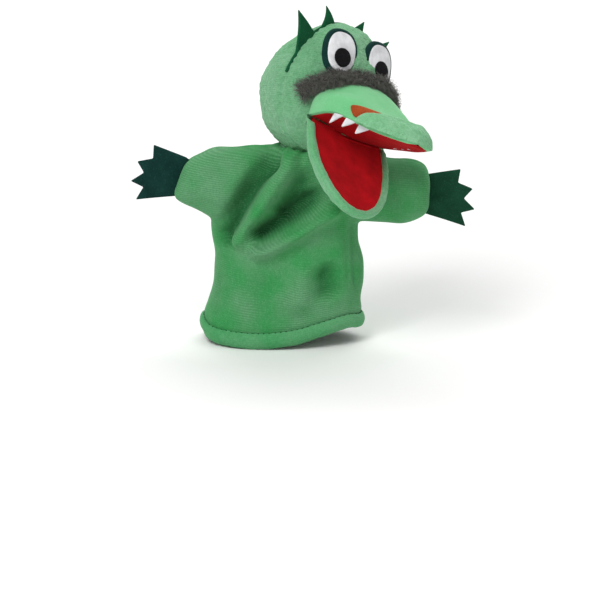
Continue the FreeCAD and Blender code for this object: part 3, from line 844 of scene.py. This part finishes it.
def makeHead():
    # A ray goes out from inside the head to its surface at each angle; the skin is then uneven
    start = np.array([0, -1.5, 5.0])
    down = np.linspace(0.012, math.pi - 0.012, 190)[:, None]
    turn = np.linspace(0, 2 * math.pi, 320, endpoint=False)[None, :]
    ways = spot(np.sin(down) * np.cos(turn), np.sin(down) * np.sin(turn), np.cos(down))
    reach = headSurface(ways, start)
    points = start + ways * reach[..., None]
    # The seam over the crown pulls the stuffed skin in, with small gathers beside it
    aside = points[..., 1] + head["seam"]
    seam = head["seamDeep"] * np.exp(-(np.abs(aside) / 0.85) ** 1.5)
    gathers = 0.22 * np.sin(lumps(points, 9.0, 21) * 2 + points[..., 2] * 1.9 + points[..., 0] * 0.8)
    gathers = gathers * np.exp(-(aside / 3.2) ** 2)
    soft = 0.34 * lumps(points, 13.0, 4) + 0.20 * lumps(points, 3.6, 6) + 0.15 * lumps(points, 1.6, 7)
    # Cheeks fill out beside the corners of the mouth, and the skin dips between the eyes
    x, y, z = np.moveaxis(points, -1, 0)
    cheek = np.exp(-(((np.abs(x) - 15) / 7) ** 2 + ((y + 11) / 7) ** 2 + ((z + 8) / 7) ** 2))
    dip = np.exp(-((x / 3.2) ** 2 + ((y + 19) / 6) ** 2 + ((z - 17) / 9) ** 2))
    points = points + ways * (soft + gathers - seam + 0.7 * cheek - 1.1 * dip)[..., None]
    return gridPiece("headSkin", inHead(points), startPole=True, endPole=True)


headSkin = makeHead()
finish(headSkin, cloth["headVelour"], "head",
       ("head_front_panel", "head_back_panel", "head_stuffing", "finger_pocket"))
print("head made")


# Snout and nose
snout = {
    "length": 38.4, "halfWidth": 18.8, "height": 18.0, "base": 0.4, "roundness": 2.4,
    "profile": [(-0.26, 0.80), (0.0, 1.0), (0.2, 0.96), (0.4, 0.72), (0.6, 0.42), (0.8, 0.30), (0.93, 0.24),
                (1.0, 0.13)],
    "lip": 0.8, "noseStart": 22.6, "noseOver": 8.0, "nosePlump": 3.2, "droop": 0.0012,
    "lift": [(-12, 2.0), (0, 3.0), (8, 4.6), (14, 4.6), (20, 3.2), (28, 1.4), (36, 0.3), (44, 0.0)],
}


def mouthWidth(share, halfWidth):
    # Half the width of a jaw: full at the fold and round at the tip
    return halfWidth * np.sqrt(np.maximum(1 - np.maximum(share, 0) ** snout["roundness"], 0))


def lifted(points):
    # The near lip is pulled up between the corner of the mouth and the nose: the rise follows the
    # distance forward, and fades across the mouth and up the side of the snout
    rise = smoothCurve(-points[..., 1], snout["lift"])
    near = smoothStep(-points[..., 0] / snout["halfWidth"], -0.25, 0.95)
    low = 1 - smoothStep(points[..., 2], 4.0, 15.0)
    # The front of the snout bends down by the square of the distance past 18 mm
    drop = snout["droop"] * np.maximum(-points[..., 1] - 18, 0) ** 2
    return points + (rise * near * low - drop)[..., None] * np.array([0, 0, 1.0])


def snoutPoint(share, turn, proud=0.0):
    # A point of the snout's skin: share of its length, and the angle over it from the left lip (0) to
    # the right (pi). The section is half an oval, a little squarer than an ellipse
    # It narrows where it runs back into the head, and its height closes over the tip
    narrow = np.sqrt(np.clip(1 - (np.minimum(share - 0.05, 0) / 0.23) ** 2, 0.02, 1))
    wide = mouthWidth(share, snout["halfWidth"]) * narrow + proud
    close = np.minimum(1, 0.35 + 3 * np.sqrt(np.maximum(1 - share, 0)))
    tall = snout["height"] * smoothCurve(share, snout["profile"]) * close + proud
    c, s = np.cos(turn), np.sin(turn)
    x = wide * np.sign(c) * np.abs(c) ** 0.92
    z = snout["base"] + tall * np.sign(s) * np.abs(s) ** 0.88
    return spot(x, -(share * snout["length"] + proud * np.maximum(share - 0.5, 0)), z)


def makeSnout():
    # The upper skin from lip to lip, and a small roll beneath each lip
    share = np.concatenate([np.linspace(-0.16, 0.7, 60), 1 - 0.3 * (1 - np.linspace(0, 1, 41)[1:]) ** 2.2])
    over = np.linspace(-0.03, math.pi + 0.03, 110)
    top = snoutPoint(share[:, None], over[None, :])
    top = top + 0.10 * lumps(top, 6.0, 13)[..., None] * np.array([0.4, 0.2, 1.0])
    # The skin turns under the lip in a small roll and ends beneath the lining
    wide = snoutPoint(share, 0 * share)[:, :1]
    roll = np.linspace(0, 1, 12)[None, 1:]
    inset = np.minimum(snout["lip"] * 2.2, wide * 0.9) * roll
    sag = -0.9 * np.sin(roll * math.pi) ** 0.7 * np.minimum(1, wide / 5)
    right = spot(-(wide - inset), -(share[:, None] * snout["length"]), snout["base"] + sag)
    left = right * np.array([-1, 1, 1])
    grid = atHinge(lifted(np.concatenate([top, right, left[:, ::-1]], axis=1)))
    return gridPiece("snoutSkin", grid, startPole=True, endPole=True)


snoutSkin = makeSnout()
welded(snoutSkin, 0.002)
finish(snoutSkin, cloth["snoutVelour"], "head", ("snout_skin", "snout_stuffing"))


def noseEdge(turn):
    # Where the nose cap begins: further forward over the top than at the lips
    return (snout["noseStart"] + snout["noseOver"] * np.maximum(np.sin(turn), 0) ** 1.4) / snout["length"]


def makeNose():
    # The cap swells from a tucked back edge and closes over the tip
    over = np.linspace(0.0, math.pi, 150)[None, :]
    way = np.linspace(0, 1, 70)[:, None]
    first = noseEdge(over)
    share = first + (1 - first) * (1 - (1 - way) ** 1.9)
    fromEdge = (share - first) * snout["length"]
    swell = 1 - (1 - np.clip(fromEdge / 2.6, 0, 1)) ** 2
    proud = snout["nosePlump"] * np.sqrt(np.clip(swell, 0, 1)) - 0.15
    # It thins towards the tip and on the far side
    proud = proud * (1 - 0.8 * smoothStep(share, 0.72, 1.0)) * (1 - 0.5 * smoothStep(np.cos(over), 0.2, 1.0))
    cap = snoutPoint(share, over, proud)
    cap = cap + 0.26 * lumps(cap, 3.0, 31)[..., None] * np.array([0.6, 0.3, 1.0])
    # Underneath it turns in only a little way, so that the lining stays in view
    under = np.linspace(1, 0, 25)[None, 1:-1]
    low = cap[:, -1:] * under[..., None] + cap[:, :1] * (1 - under[..., None])
    span = np.abs(cap[:, :1, 0] - cap[:, -1:, 0])
    inset = np.minimum(under, 1 - under) * span
    low[..., 2] = cap[:, :1, 2] + (1.0 - cap[:, :1, 2]) * smoothStep(inset, 0.6, 2.4)
    grid = atHinge(lifted(np.concatenate([cap, low], axis=1)))
    return gridPiece("noseCap", grid, startPole=True, endPole=True)


finish(welded(makeNose(), 0.002), cloth["noseVelour"], "head", ("nose_cap",))


def makeNostril(name, side):
    # A crescent cut from felt, caught under the back edge of the nose: widest near the lip
    u = np.linspace(0, 1, 60)[:, None]
    v = np.linspace(0, 1, 16)[None, :]
    turn = math.pi * (0.03 + 0.46 * u)
    wide = (5.6 * (1 - u) ** 0.8 + 1.0 * np.sqrt(1 - u)) * smoothStep(u, -0.10, 0.20) + 0.05
    share = noseEdge(turn) + (1.0 - v * (wide + 1.0)) / snout["length"]
    grid = snoutPoint(share, turn + 0 * v, 0.45)
    if side < 0:
        grid = grid * np.array([-1, 1, 1])
    return feltPiece(name, atHinge(lifted(grid)), 1.0, 0.45)


for side, name in ((1, "left"), (-1, "right")):
    nostril = makeNostril("nostril" + name.capitalize(), side)
    finish(nostril, cloth["nostrilFelt"], "head", ("nostril_felt_" + name,))

teeth = {"start": 13.0, "pitch": 5.4, "down": 3.9, "back": 5.4, "thick": 1.1, "count": 3}


def makeTeeth(name, side):
    # Felt triangles along the lip: the base follows the edge and the point leans back. On the far side
    # they lie in under the palate
    down, tuck = (teeth["down"], 0.0) if side < 0 else (teeth["down"] * 0.1, 3.4)
    pieces = []
    for number in range(teeth["count"]):
        u = np.linspace(0, 1, 22)[:, None]
        v = np.linspace(-1, 1, 19)[None, :]
        middle = teeth["start"] + teeth["pitch"] * (number + 0.5)
        taper = (1 - u) ** 0.85 * 0.94 + 0.06
        along = middle + v * teeth["pitch"] * 0.5 * taper
        x = mouthWidth(along / snout["length"], snout["halfWidth"]) - 0.5
        z = 1.2 - u * (down + 1.2)
        grid = spot(side * (x - tuck * u), -(along - u * teeth["back"]), z)
        pieces.append(feltPiece(name, atHinge(lifted(grid)), teeth["thick"], 0.6))
    return joined(name, pieces)


for side, name in ((1, "left"), (-1, "right")):
    row = makeTeeth("teeth" + name.capitalize(), side)
    finish(row, cloth["whiteFelt"], "head", ("teeth_" + name,))
print("snout made")


# Mouth
mouth = {
    "open": 46.0, "jawLength": 39.5, "jawHalfWidth": 19.0, "aside": 0.21, "cornerUp": 2.8, "jawDeep": 7.4,
    "lipWide": 3.3, "lining": 1.0,
}
jawTurn = turned("x", mouth["open"])


def inJaw(points):
    # From the jaw's own axes, with its lining flat, to the puppet's. It hangs a little to the near side,
    # and its near corner is pulled up to the lip above
    bent = points - np.maximum(-points[..., 1:2], 0) * mouth["aside"] * np.array([1.0, 0, 0])
    near = smoothStep(-points[..., 0] / mouth["jawHalfWidth"], -0.1, 1.0)
    corner = near * (1 - smoothStep(-points[..., 1], 0.5, 15.0))
    turnedDown = bent @ jawTurn.T
    return atHinge(turnedDown + (mouth["cornerUp"] * corner)[..., None] * np.array([0, 0, 1.0]))


def jawShares(first):
    # Shares of a jaw from its fold to its tip, closer together where the outline turns
    return np.concatenate([np.linspace(first, 0.7, 50), 1 - 0.3 * (1 - np.linspace(0, 1, 41)[1:]) ** 2.2])


def makeLining(name, length, halfWidth, inset, level, dish, first, place, facing):
    # A tongue of felt: flat across, dished a little, and inset from the lip all round
    share = jawShares(first)[:-1]
    across = np.linspace(-1, 1, 61)[None, :]
    wide = mouthWidth(share, halfWidth - inset)[:, None]
    x = wide * across
    y = -(share * (length - inset))[:, None] + 0 * x
    depth = dish * (1 - across ** 2) * np.minimum(1, wide / 8) * smoothStep(share, 0.0, 0.25)[:, None]
    z = level + facing * depth + 0.12 * lumps(spot(x, y, 0), 16.0, 9)
    return feltPiece(name, place(spot(x, y, z)), mouth["lining"], 0.5)


upperLining = makeLining("upperLining", snout["length"], snout["halfWidth"], 0.9, -0.25, 0.4, 0.006,
                         lambda grid: atHinge(lifted(grid)), 1)
lowerLining = makeLining("lowerLining", mouth["jawLength"], mouth["jawHalfWidth"], 2.2, -0.5, 1.1, 0.006,
                         inJaw, -1)
finish(upperLining, cloth["mouthFelt"], "head", ("upper_mouth_lining", "upper_mouth_board"))
finish(lowerLining, cloth["mouthFelt"], "jaw", ("lower_mouth_lining", "lower_mouth_board"))


def makeFold():
    # The back of the mouth: one felt strip bent round between the two linings
    turn = np.radians(np.linspace(105, -140, 30))[:, None]
    x = np.linspace(-16.4, 16.4, 70)[None, :]
    y = -0.5 + 1.35 * np.cos(turn)
    z = -0.45 + 1.25 * np.sin(turn)
    return feltPiece("mouthFold", atHinge(spot(x, y, z)), 0.8, 0.5)


finish(makeFold(), cloth["mouthFelt"], "head", ("mouth_fold",))


def makeJaw():
    # A shallow dome under a tongue-shaped outline, turned over at the rim into a roll that stands above
    # the lining. Depth falls from the middle as the root of 1 - r to the power 2.4
    turn = np.linspace(0, 2 * math.pi, 220, endpoint=False)
    rise = np.abs(np.sin(turn))
    ahead = np.where(np.sin(turn) >= 0, mouth["jawLength"] * rise ** (2 / snout["roundness"]), -2.6 * rise)
    outline = np.stack([mouth["jawHalfWidth"] * np.cos(turn), ahead], axis=1)
    way = np.roll(outline, -1, axis=0) - np.roll(outline, 1, axis=0)
    out = unit(np.stack([way[:, 1], -way[:, 0]], axis=1))
    reach = np.sin(np.linspace(0.03, 1, 60) * math.pi / 2)[:, None]
    x, forward = reach * outline[:, 0], reach * outline[:, 1]
    filled = 0.42 + 0.58 * smoothStep(forward, -1, 10)
    deep = mouth["jawDeep"] * filled * np.sqrt(np.clip(1 - reach ** 2.4, 0, 1))
    dome = spot(x, -forward, -0.6 - deep)
    roll = np.linspace(0, 1, 22)[1:, None]
    open = smoothStep(outline[:, 1], 0.5, 4.0)[None, :]
    inset = mouth["lipWide"] * (1 - np.cos(roll * math.pi)) / 2 * (0.3 + 0.7 * open)
    rim = outline[None] - out[None] * inset[..., None]
    height = -0.6 + 1.7 * np.sin(roll * math.pi) ** 0.8 * open - 0.9 * roll
    rim = spot(rim[..., 0], -rim[..., 1], height)
    sunk = rim[-1:] * np.array([0.93, 0.95, 1]) + np.array([0, 0, -2.2])
    grid = np.concatenate([dome, rim, sunk])
    grid = grid + 0.16 * lumps(grid, 5.0, 41)[..., None] * np.array([0.3, 0.2, 1.0])
    return gridPiece("jawSkin", inJaw(grid), startPole=True, endPole=True)


jawSkin = welded(makeJaw(), 0.002)
finish(jawSkin, cloth["jawVelour"], "jaw", ("jaw_skin", "jaw_padding"))
print("mouth made")


# Eyes
eyes = {
    "side": 9.0, "aside": -2.2, "forward": 17.0, "up": 14.0, "splay": 7.0, "lift": 12.0,
    "rim": (7.3, 8.6), "white": (5.9, 7.2), "pupil": 3.4, "pupilDown": -2.2,
}


def eyePlace(side):
    # The eye's own axes: x across, z up, and -y out of the face
    way = turned("z", side * eyes["splay"]) @ turned("x", -eyes["lift"])
    middle = np.array([side * eyes["side"] + eyes["aside"], -eyes["forward"], eyes["up"]])
    return lambda points: inHead(np.asarray(points) @ way.T + middle)


def eyeDisc(name, side, halfWidth, halfHeight, out, thick, squareness, bulge, down=0.0, edge=0.55):
    # A felt disc from its middle to its rim, domed outwards by bulge
    turn = np.linspace(0, 2 * math.pi, 120, endpoint=False)[None, :]
    r = np.linspace(0.0, 1, 26)[:, None] + 1e-4
    c, s = np.cos(turn), np.sin(turn)
    x = halfWidth * np.sign(c) * np.abs(c) ** (2 / squareness)
    z = halfHeight * np.sign(s) * np.abs(s) ** (2 / squareness)
    x, z = r * x, r * z + down
    y = -(out + bulge * (1 - r ** 2))
    return feltPiece(name, eyePlace(side)(spot(x, y, z)), thick, edge, around=True, fluff=0.03)


for name, side in (("left", 1), ("right", -1)):
    label = name.capitalize()
    rim = eyeDisc("eyeRim" + label, side, *eyes["rim"], 0.2, 2.4, 2.3, 0.7, edge=1.1)
    white = eyeDisc("eyeWhite" + label, side, *eyes["white"], 1.5, 1.0, 2.3, 0.75)
    pupil = eyeDisc("pupil" + label, side, eyes["pupil"], eyes["pupil"],
                    2.7, 1.0, 2.0, 0.3, down=eyes["pupilDown"])
    finish(rim, cloth["rimFeltAndShadedHand"], "head", ("eye_rim_" + name,))
    finish(white, cloth["whiteFelt"], "head", ("eye_white_" + name,))
    finish(pupil, cloth["blackFelt"], "head", ("pupil_" + name,))
print("eyes made")


# Crest
# Each fin: where its base starts and ends round the brow, its tip, its reach, and how much it hooks
crest = {
    "thick": 1.3, "sink": 1.2, "fins": [(-97, -53, -55.5, 27.2, 2.2), (-49, -17, -26.5, 22.5, 1.2),
                                        (12, 42, 23, 20.8, 1.2), (52, 94, 55, 27.0, 2.2)],
}


def crestPoint(degrees, radius):
    # A point in the seam's plane, at an angle and reach from the middle of the brow
    a = np.radians(degrees)
    radius = np.asarray(radius, float)
    x = radius * np.sin(a)
    return spot(x, -head["seam"] - 0.2, head["browUp"] + radius * np.cos(a))


def crestBase(degrees):
    # Where the seam's line meets the head's skin, seen from the middle of the brow
    a = np.radians(np.asarray(degrees, float))
    start = np.array([0, -head["seam"] - 0.2, head["browUp"]])
    ways = spot(np.sin(a), 0, np.cos(a))
    return crestPoint(degrees, headSurface(ways, start + 0 * ways) - crest["sink"])


def makeFin(name, low, high, tip, reach, hook):
    # A horn standing on the seam: lines from the base to the tip, bowed across so that the edge away
    # from the crown is hollow and the other is full
    v = np.linspace(0, 1, 25)
    base = crestBase(low + v * (high - low))[None]
    point = crestPoint(tip, reach)
    up = np.linspace(0, 1, 40)[:, None, None]
    across = unit(base[0, -1] - base[0, 0])
    outer = (1 - v) if tip < 0 else v
    bow = hook * (0.25 + 0.75 * outer)[None, :, None] * (-np.sign(tip))
    grid = base + (point - base) * up + across * bow * np.sin(up * math.pi) * 0.8
    lean = 0.8 * np.sin(up * 2.2 + tip) * up
    grid = grid + lean * np.array([0, 1.0, 0])
    return feltPiece(name, inHead(grid), crest["thick"], 0.6, fluff=0.03)


def makeCrest():
    # The four fins and the band that they are cut from
    pieces = [makeFin("fin", *fin) for fin in crest["fins"]]
    # The band that the fins are cut from, showing as a thin line in the seam
    turn = np.linspace(-92, 92, 150)[None, :]
    rise = np.linspace(-1.6, 0.35, 9)[:, None]
    start = np.array([0, -head["seam"] - 0.2, head["browUp"] - 6.0])
    a = np.radians(turn)
    ways = spot(np.sin(a), 0, np.cos(a))
    reach = headSurface(ways + 0 * rise[..., None], start + 0 * rise[..., None])
    grid = start + ways * (reach + rise)[..., None]
    pieces.append(feltPiece("band", inHead(grid), crest["thick"], 0.5))
    return joined("crestStrip", pieces)


finish(makeCrest(), cloth["darkFelt"], "head", ("crest_strip",))
print("crest made")


# Hands
hands = {
    # angle from the arm's line and reach of each claw and of each notch between them
    "claws": [(38.0, 15.4), (8.0, 16.8), (-16.0, 18.2), (-38.5, 18.4)],
    "notches": [(21.0, 12.2), (-5.0, 13.6), (-27.0, 14.2)],
    "halfBase": 7.2, "thick": 1.1, "right": {"middle": (-35.4, 0.0, 54.9), "raised": 12.0},
    "left": {"middle": (51.0, 0.0, 48.6), "raised": -1.0},
}


def clawOutline(claws, notches, halfBase, count=260):
    # Corners in order round the hand: base, claws and notches, with the notches hollow between points
    stops = [(0.0, halfBase)]
    for number, (angle, reach) in enumerate(claws):
        stops.append((reach * math.cos(math.radians(angle)), reach * math.sin(math.radians(angle))))
        if number < len(notches):
            a, r = math.radians(notches[number][0]), notches[number][1]
            stops.append((r * math.cos(a), r * math.sin(a)))
    stops += [(0.0, -halfBase), (-3.0, -halfBase * 0.8), (-3.0, halfBase * 0.8), (0.0, halfBase)]
    corners = np.array(stops)
    length = np.concatenate([[0], np.cumsum(np.linalg.norm(np.diff(corners, axis=0), axis=1))])
    at = np.linspace(0, length[-1], count, endpoint=False)
    line = np.stack([np.interp(at, length, corners[:, k]) for k in (0, 1)], axis=1)
    for step in range(2):
        line = (np.roll(line, 1, axis=0) + 2 * line + np.roll(line, -1, axis=0)) / 4
    return line


def makeHand(name, side, place):
    # A flat felt hand with a slight curl, turned up by its own angle
    outline = clawOutline(hands["claws"], hands["notches"], hands["halfBase"])
    middle = np.array([6.5, -1.0])
    edge = 1 - 0.1 * (1 - np.linspace(0, 1, 9)[1:]) ** 1.6
    r = np.concatenate([np.linspace(0, 0.9, 30), edge])[:, None, None] + 1e-4
    flat = middle + (outline - middle)[None] * r
    a = math.radians(place["raised"])
    along = flat[..., 0] * math.cos(a) - flat[..., 1] * math.sin(a)
    up = flat[..., 0] * math.sin(a) + flat[..., 1] * math.cos(a)
    curl = -0.028 * np.maximum(flat[..., 0], 0) ** 1.7 * 0.35 + 0.25 * np.sin(flat[..., 1] * 0.5)
    x = place["middle"][0] + side * along
    grid = spot(x, place["middle"][1] + curl, place["middle"][2] + up)
    return feltPiece(name, grid, hands["thick"], 0.55, around=True, fluff=0.04)


# Painted shade: both hands are the same felt, but the right hand takes the darker rim felt so that it looks
# shaded
for side, name, felt in ((1, "left", "handFelt"), (-1, "right", "rimFeltAndShadedHand")):
    hand = makeHand("hand" + name.capitalize(), side, hands[name])
    finish(hand, cloth[felt], "hand_" + name, ("hand_felt_" + name,))
print("hands made")


# Brow fur
fur = {"strands": 3800, "rings": 9, "thin": 0.115, "shortest": 2.8, "longest": 6.4, "curl": 0.95,
       "middle": (0, -24.0, 7.2), "end": (19.4, -12.0, -2.4), "strip": 2.0,
       "from": (0, -4.0, -1.0)}


def furPath(share):
    # An arc over the root of the snout through its middle and both ends
    t = np.asarray(share, float) * 2 - 1
    middle, end = np.array(fur["middle"]), np.array(fur["end"])
    bend = (1 - np.cos(t * math.pi / 2))[..., None] * (end - middle) * np.array([0, 1, 1])
    return middle + bend + spot(end[0] * np.sin(t * math.pi / 2), 0, 0)


def outFrom(points, along):
    # Away from the middle of the head, square to the strip
    out = points - np.array(fur["from"])
    out -= along * (out * along).sum(axis=1, keepdims=True)
    return unit(out)


def makeFur():
    # Each strand starts in the strip, leaves it outwards and curls in a loose helix:
    # root + way * length * u + curl * (cosine and sine of its own turns)
    count, rings = fur["strands"], fur["rings"]
    share = random.uniform(0, 1, count)
    root = furPath(share)
    along = furPath(share + 0.01) - furPath(share - 0.01)
    along = unit(along)
    out = outFrom(root, along)
    aside = np.cross(along, out)
    turn = random.uniform(-1.75, 1.75, count)[:, None]
    way = out * np.cos(turn) + aside * np.sin(turn) + along * random.normal(0, 0.42, count)[:, None]
    way += 0.35 * lumps(root, 5.0, 17)[:, None] * along + np.array([0, 0, -0.12])
    way = unit(way)
    fromMiddle = fur["strip"] * random.uniform(0.3, 1, count)[:, None]
    root = root + (out * np.cos(turn) * 0.5 + aside * np.sin(turn)) * fromMiddle
    long = random.uniform(fur["shortest"], fur["longest"], count) * (0.75 + 0.25 * lumps(root, 7.0, 19))
    u = np.linspace(0, 1, rings)[None, :, None]
    side = np.cross(way, random.normal(size=(count, 3)))
    side = unit(side)
    other = np.cross(way, side)
    first = random.uniform(0, 6.28, count)[:, None, None]
    turns = random.uniform(3, 9, count)[:, None, None]
    spin = first + u * turns * random.choice([-1, 1], count)[:, None, None]
    wide = fur["curl"] * random.uniform(0.3, 1.2, count)[:, None, None] * u ** 0.7
    line = root[:, None] + way[:, None] * (u * long[:, None, None] * (1 - 0.18 * u))
    line = line + wide * (np.cos(spin) * side[:, None] + np.sin(spin) * other[:, None])
    line = line + np.array([0, 0, -0.9]) * u ** 2
    corner = np.radians([90, 210, 330])
    thin = fur["thin"] * (1 - 0.65 * u)
    about = np.cos(corner)[:, None] * side[:, None, None] + np.sin(corner)[:, None] * other[:, None, None]
    ring = line[:, :, None] + thin[..., None] * about
    single = gridFaces(rings, 3, True)
    faces = (single[None] + (np.arange(count) * rings * 3)[:, None, None]).reshape(-1, 4)
    piece = putMesh("browFur", inHead(ring.reshape(-1, 3)), faces.tolist())
    tip = piece.data.attributes.new("tip", "FLOAT", "POINT")
    tip.data.foreach_set("value", np.tile(np.repeat(np.linspace(0, 1, rings), 3), count).astype(np.float32))
    return piece


def makeFurBacking():
    # The dark knit strip that the hairs are tied into
    share = np.linspace(0, 1, 90)
    line = furPath(share)
    way = np.gradient(line, axis=0)
    way = unit(way)
    out = outFrom(line, way)
    aside = np.cross(way, out)
    turn = np.linspace(0, 2 * math.pi, 24, endpoint=False)[None, :, None]
    thick = (0.2 + 0.8 * np.sin(share * math.pi) ** 0.35)[:, None, None]
    around = 1.3 * np.cos(turn) * out[:, None] + fur["strip"] * np.sin(turn) * aside[:, None]
    grid = line[:, None] + thick * around
    grid = grid + 0.2 * lumps(grid, 1.6, 12)[..., None] * out[:, None]
    return gridPiece("furBacking", inHead(grid), startPole=True, endPole=True)


finish(makeFur(), cloth["browFur"], "head", ("brow_fur",))
finish(welded(makeFurBacking(), 0.001), cloth["browFur"], "head", ())
print("fur made")


# Neck
neckTube = {"radius": 11.2, "start": -3.6, "end": 2.6}


def makeNeck():
    # The cloth tube between the head and the sleeve, gathered where it is sewn
    axis = unit(np.array(head["centre"]))
    side = np.cross(axis, [0, 1, 0])
    side = unit(side)
    other = np.cross(axis, side)
    up = np.linspace(0, 1, 18)[:, None]
    turn = np.linspace(0, 2 * math.pi, 120, endpoint=False)[None, :]
    radius = neckTube["radius"] - 0.5 * np.sin(up * math.pi) + 0.22 * np.sin(24 * turn) * (0.4 + up)
    level = neckTube["start"] + (neckTube["end"] - neckTube["start"]) * up
    place = np.array(sleeve["neck"]) + axis * level[..., None]
    grid = place + radius[..., None] * (np.cos(turn)[..., None] * side + np.sin(turn)[..., None] * other)
    return welded(wall("neckTube", grid, 1.0))


def wall(name, grid, thick):
    # A closed wall from one ring surface: the outside, and the same rings moved inwards
    inner = grid - gridNormals(grid, True) * thick
    middle = grid.mean(axis=(0, 1))
    if ((inner[0] - middle) ** 2).sum() > ((grid[0] - middle) ** 2).sum():
        inner = grid + gridNormals(grid, True) * thick
    loop = np.concatenate([grid, inner[::-1], grid[:1]])
    return gridPiece(name, loop)


finish(makeNeck(), cloth["headVelour"], "neck", ("neck_tube",))


def makeCollar():
    # The sewn edge of the sleeve's neck, turned in under the head
    up = np.linspace(0, 1, 10)[:, None]
    turn = np.linspace(0, 2 * math.pi, 140, endpoint=False)[None, :]
    radius = 12.6 + 0.25 * np.sin(sleeve["gathers"] * turn + 0.7)
    x = sleeve["neck"][0] + radius * np.cos(turn)
    y = sleeve["neck"][1] + radius * np.sin(turn)
    grid = spot(x, y, 61.4 + 2.4 * up)
    return welded(wall("neckCollar", grid, 0.9))


finish(makeCollar(), cloth["bodyVelour"], "sleeve", ("neck_collar",))
print("neck made")


# Floor and light
def makeFloor():
    # A pale floor that curves up behind the puppet
    t = np.linspace(0, 1, 60)
    y = np.where(t < 0.6, -900 + 1900 * t / 0.6, 1000 + 420 * np.sin((t - 0.6) / 0.4 * math.pi / 2))
    z = np.where(t < 0.6, 0, 420 * (1 - np.cos((t - 0.6) / 0.4 * math.pi / 2)))
    x = np.linspace(-1500, 1500, 8)
    grid = spot(x[None, :], y[:, None], z[:, None] - 4.4)
    floor = gridPiece("floor", grid, around=False)
    material = bpy.data.materials.new("paleFloor")
    material.use_nodes = True
    tree = material.node_tree
    shader = tree.nodes["Principled BSDF"]
    place = tree.nodes.new("ShaderNodeTexCoord")
    patches = spread(tree, noiseOf(tree, place.outputs["Object"], 3.0, 2.0), 0.3, 0.7, 0.0, 1.0)
    tone = mixOf(tree, patches, colour("F4F4F3"), colour("F7F7F6"))
    tree.links.new(tone, shader.inputs["Base Color"])
    shader.inputs["Roughness"].default_value = 0.9
    floor.data.materials.append(material)


def addLight(name, at, toward, size, power):
    # A rectangular lamp, aimed at a point; places and sizes are in metres
    light = bpy.data.lights.new(name, "AREA")
    light.shape = "RECTANGLE"
    light.size, light.size_y = size
    light.energy = power
    lamp = bpy.data.objects.new(name, light)
    lamp.location = at
    lamp.rotation_euler = (Vector(toward) - Vector(at)).to_track_quat("-Z", "Y").to_euler()
    bpy.context.scene.collection.objects.link(lamp)


makeFloor()
addLight("keyLight", (-0.30, -0.65, 0.75), (0.01, 0, 0.06), (0.45, 0.45), 7.0)
addLight("fillLight", (0.75, -0.55, 0.35), (0.01, 0, 0.05), (0.7, 0.6), 1.0)
addLight("backLight", (0.10, 0.75, 0.90), (0.01, 0.3, 0.0), (1.4, 0.8), 9.0)
world = bpy.data.worlds.new("paleRoom")
world.use_nodes = True
world.node_tree.nodes["Background"].inputs["Color"].default_value = (1.0, 1.0, 1.0, 1.0)
world.node_tree.nodes["Background"].inputs["Strength"].default_value = 0.36
bpy.context.scene.world = world
bpy.context.scene.view_settings.view_transform = "Standard"
print("floor and lights placed")
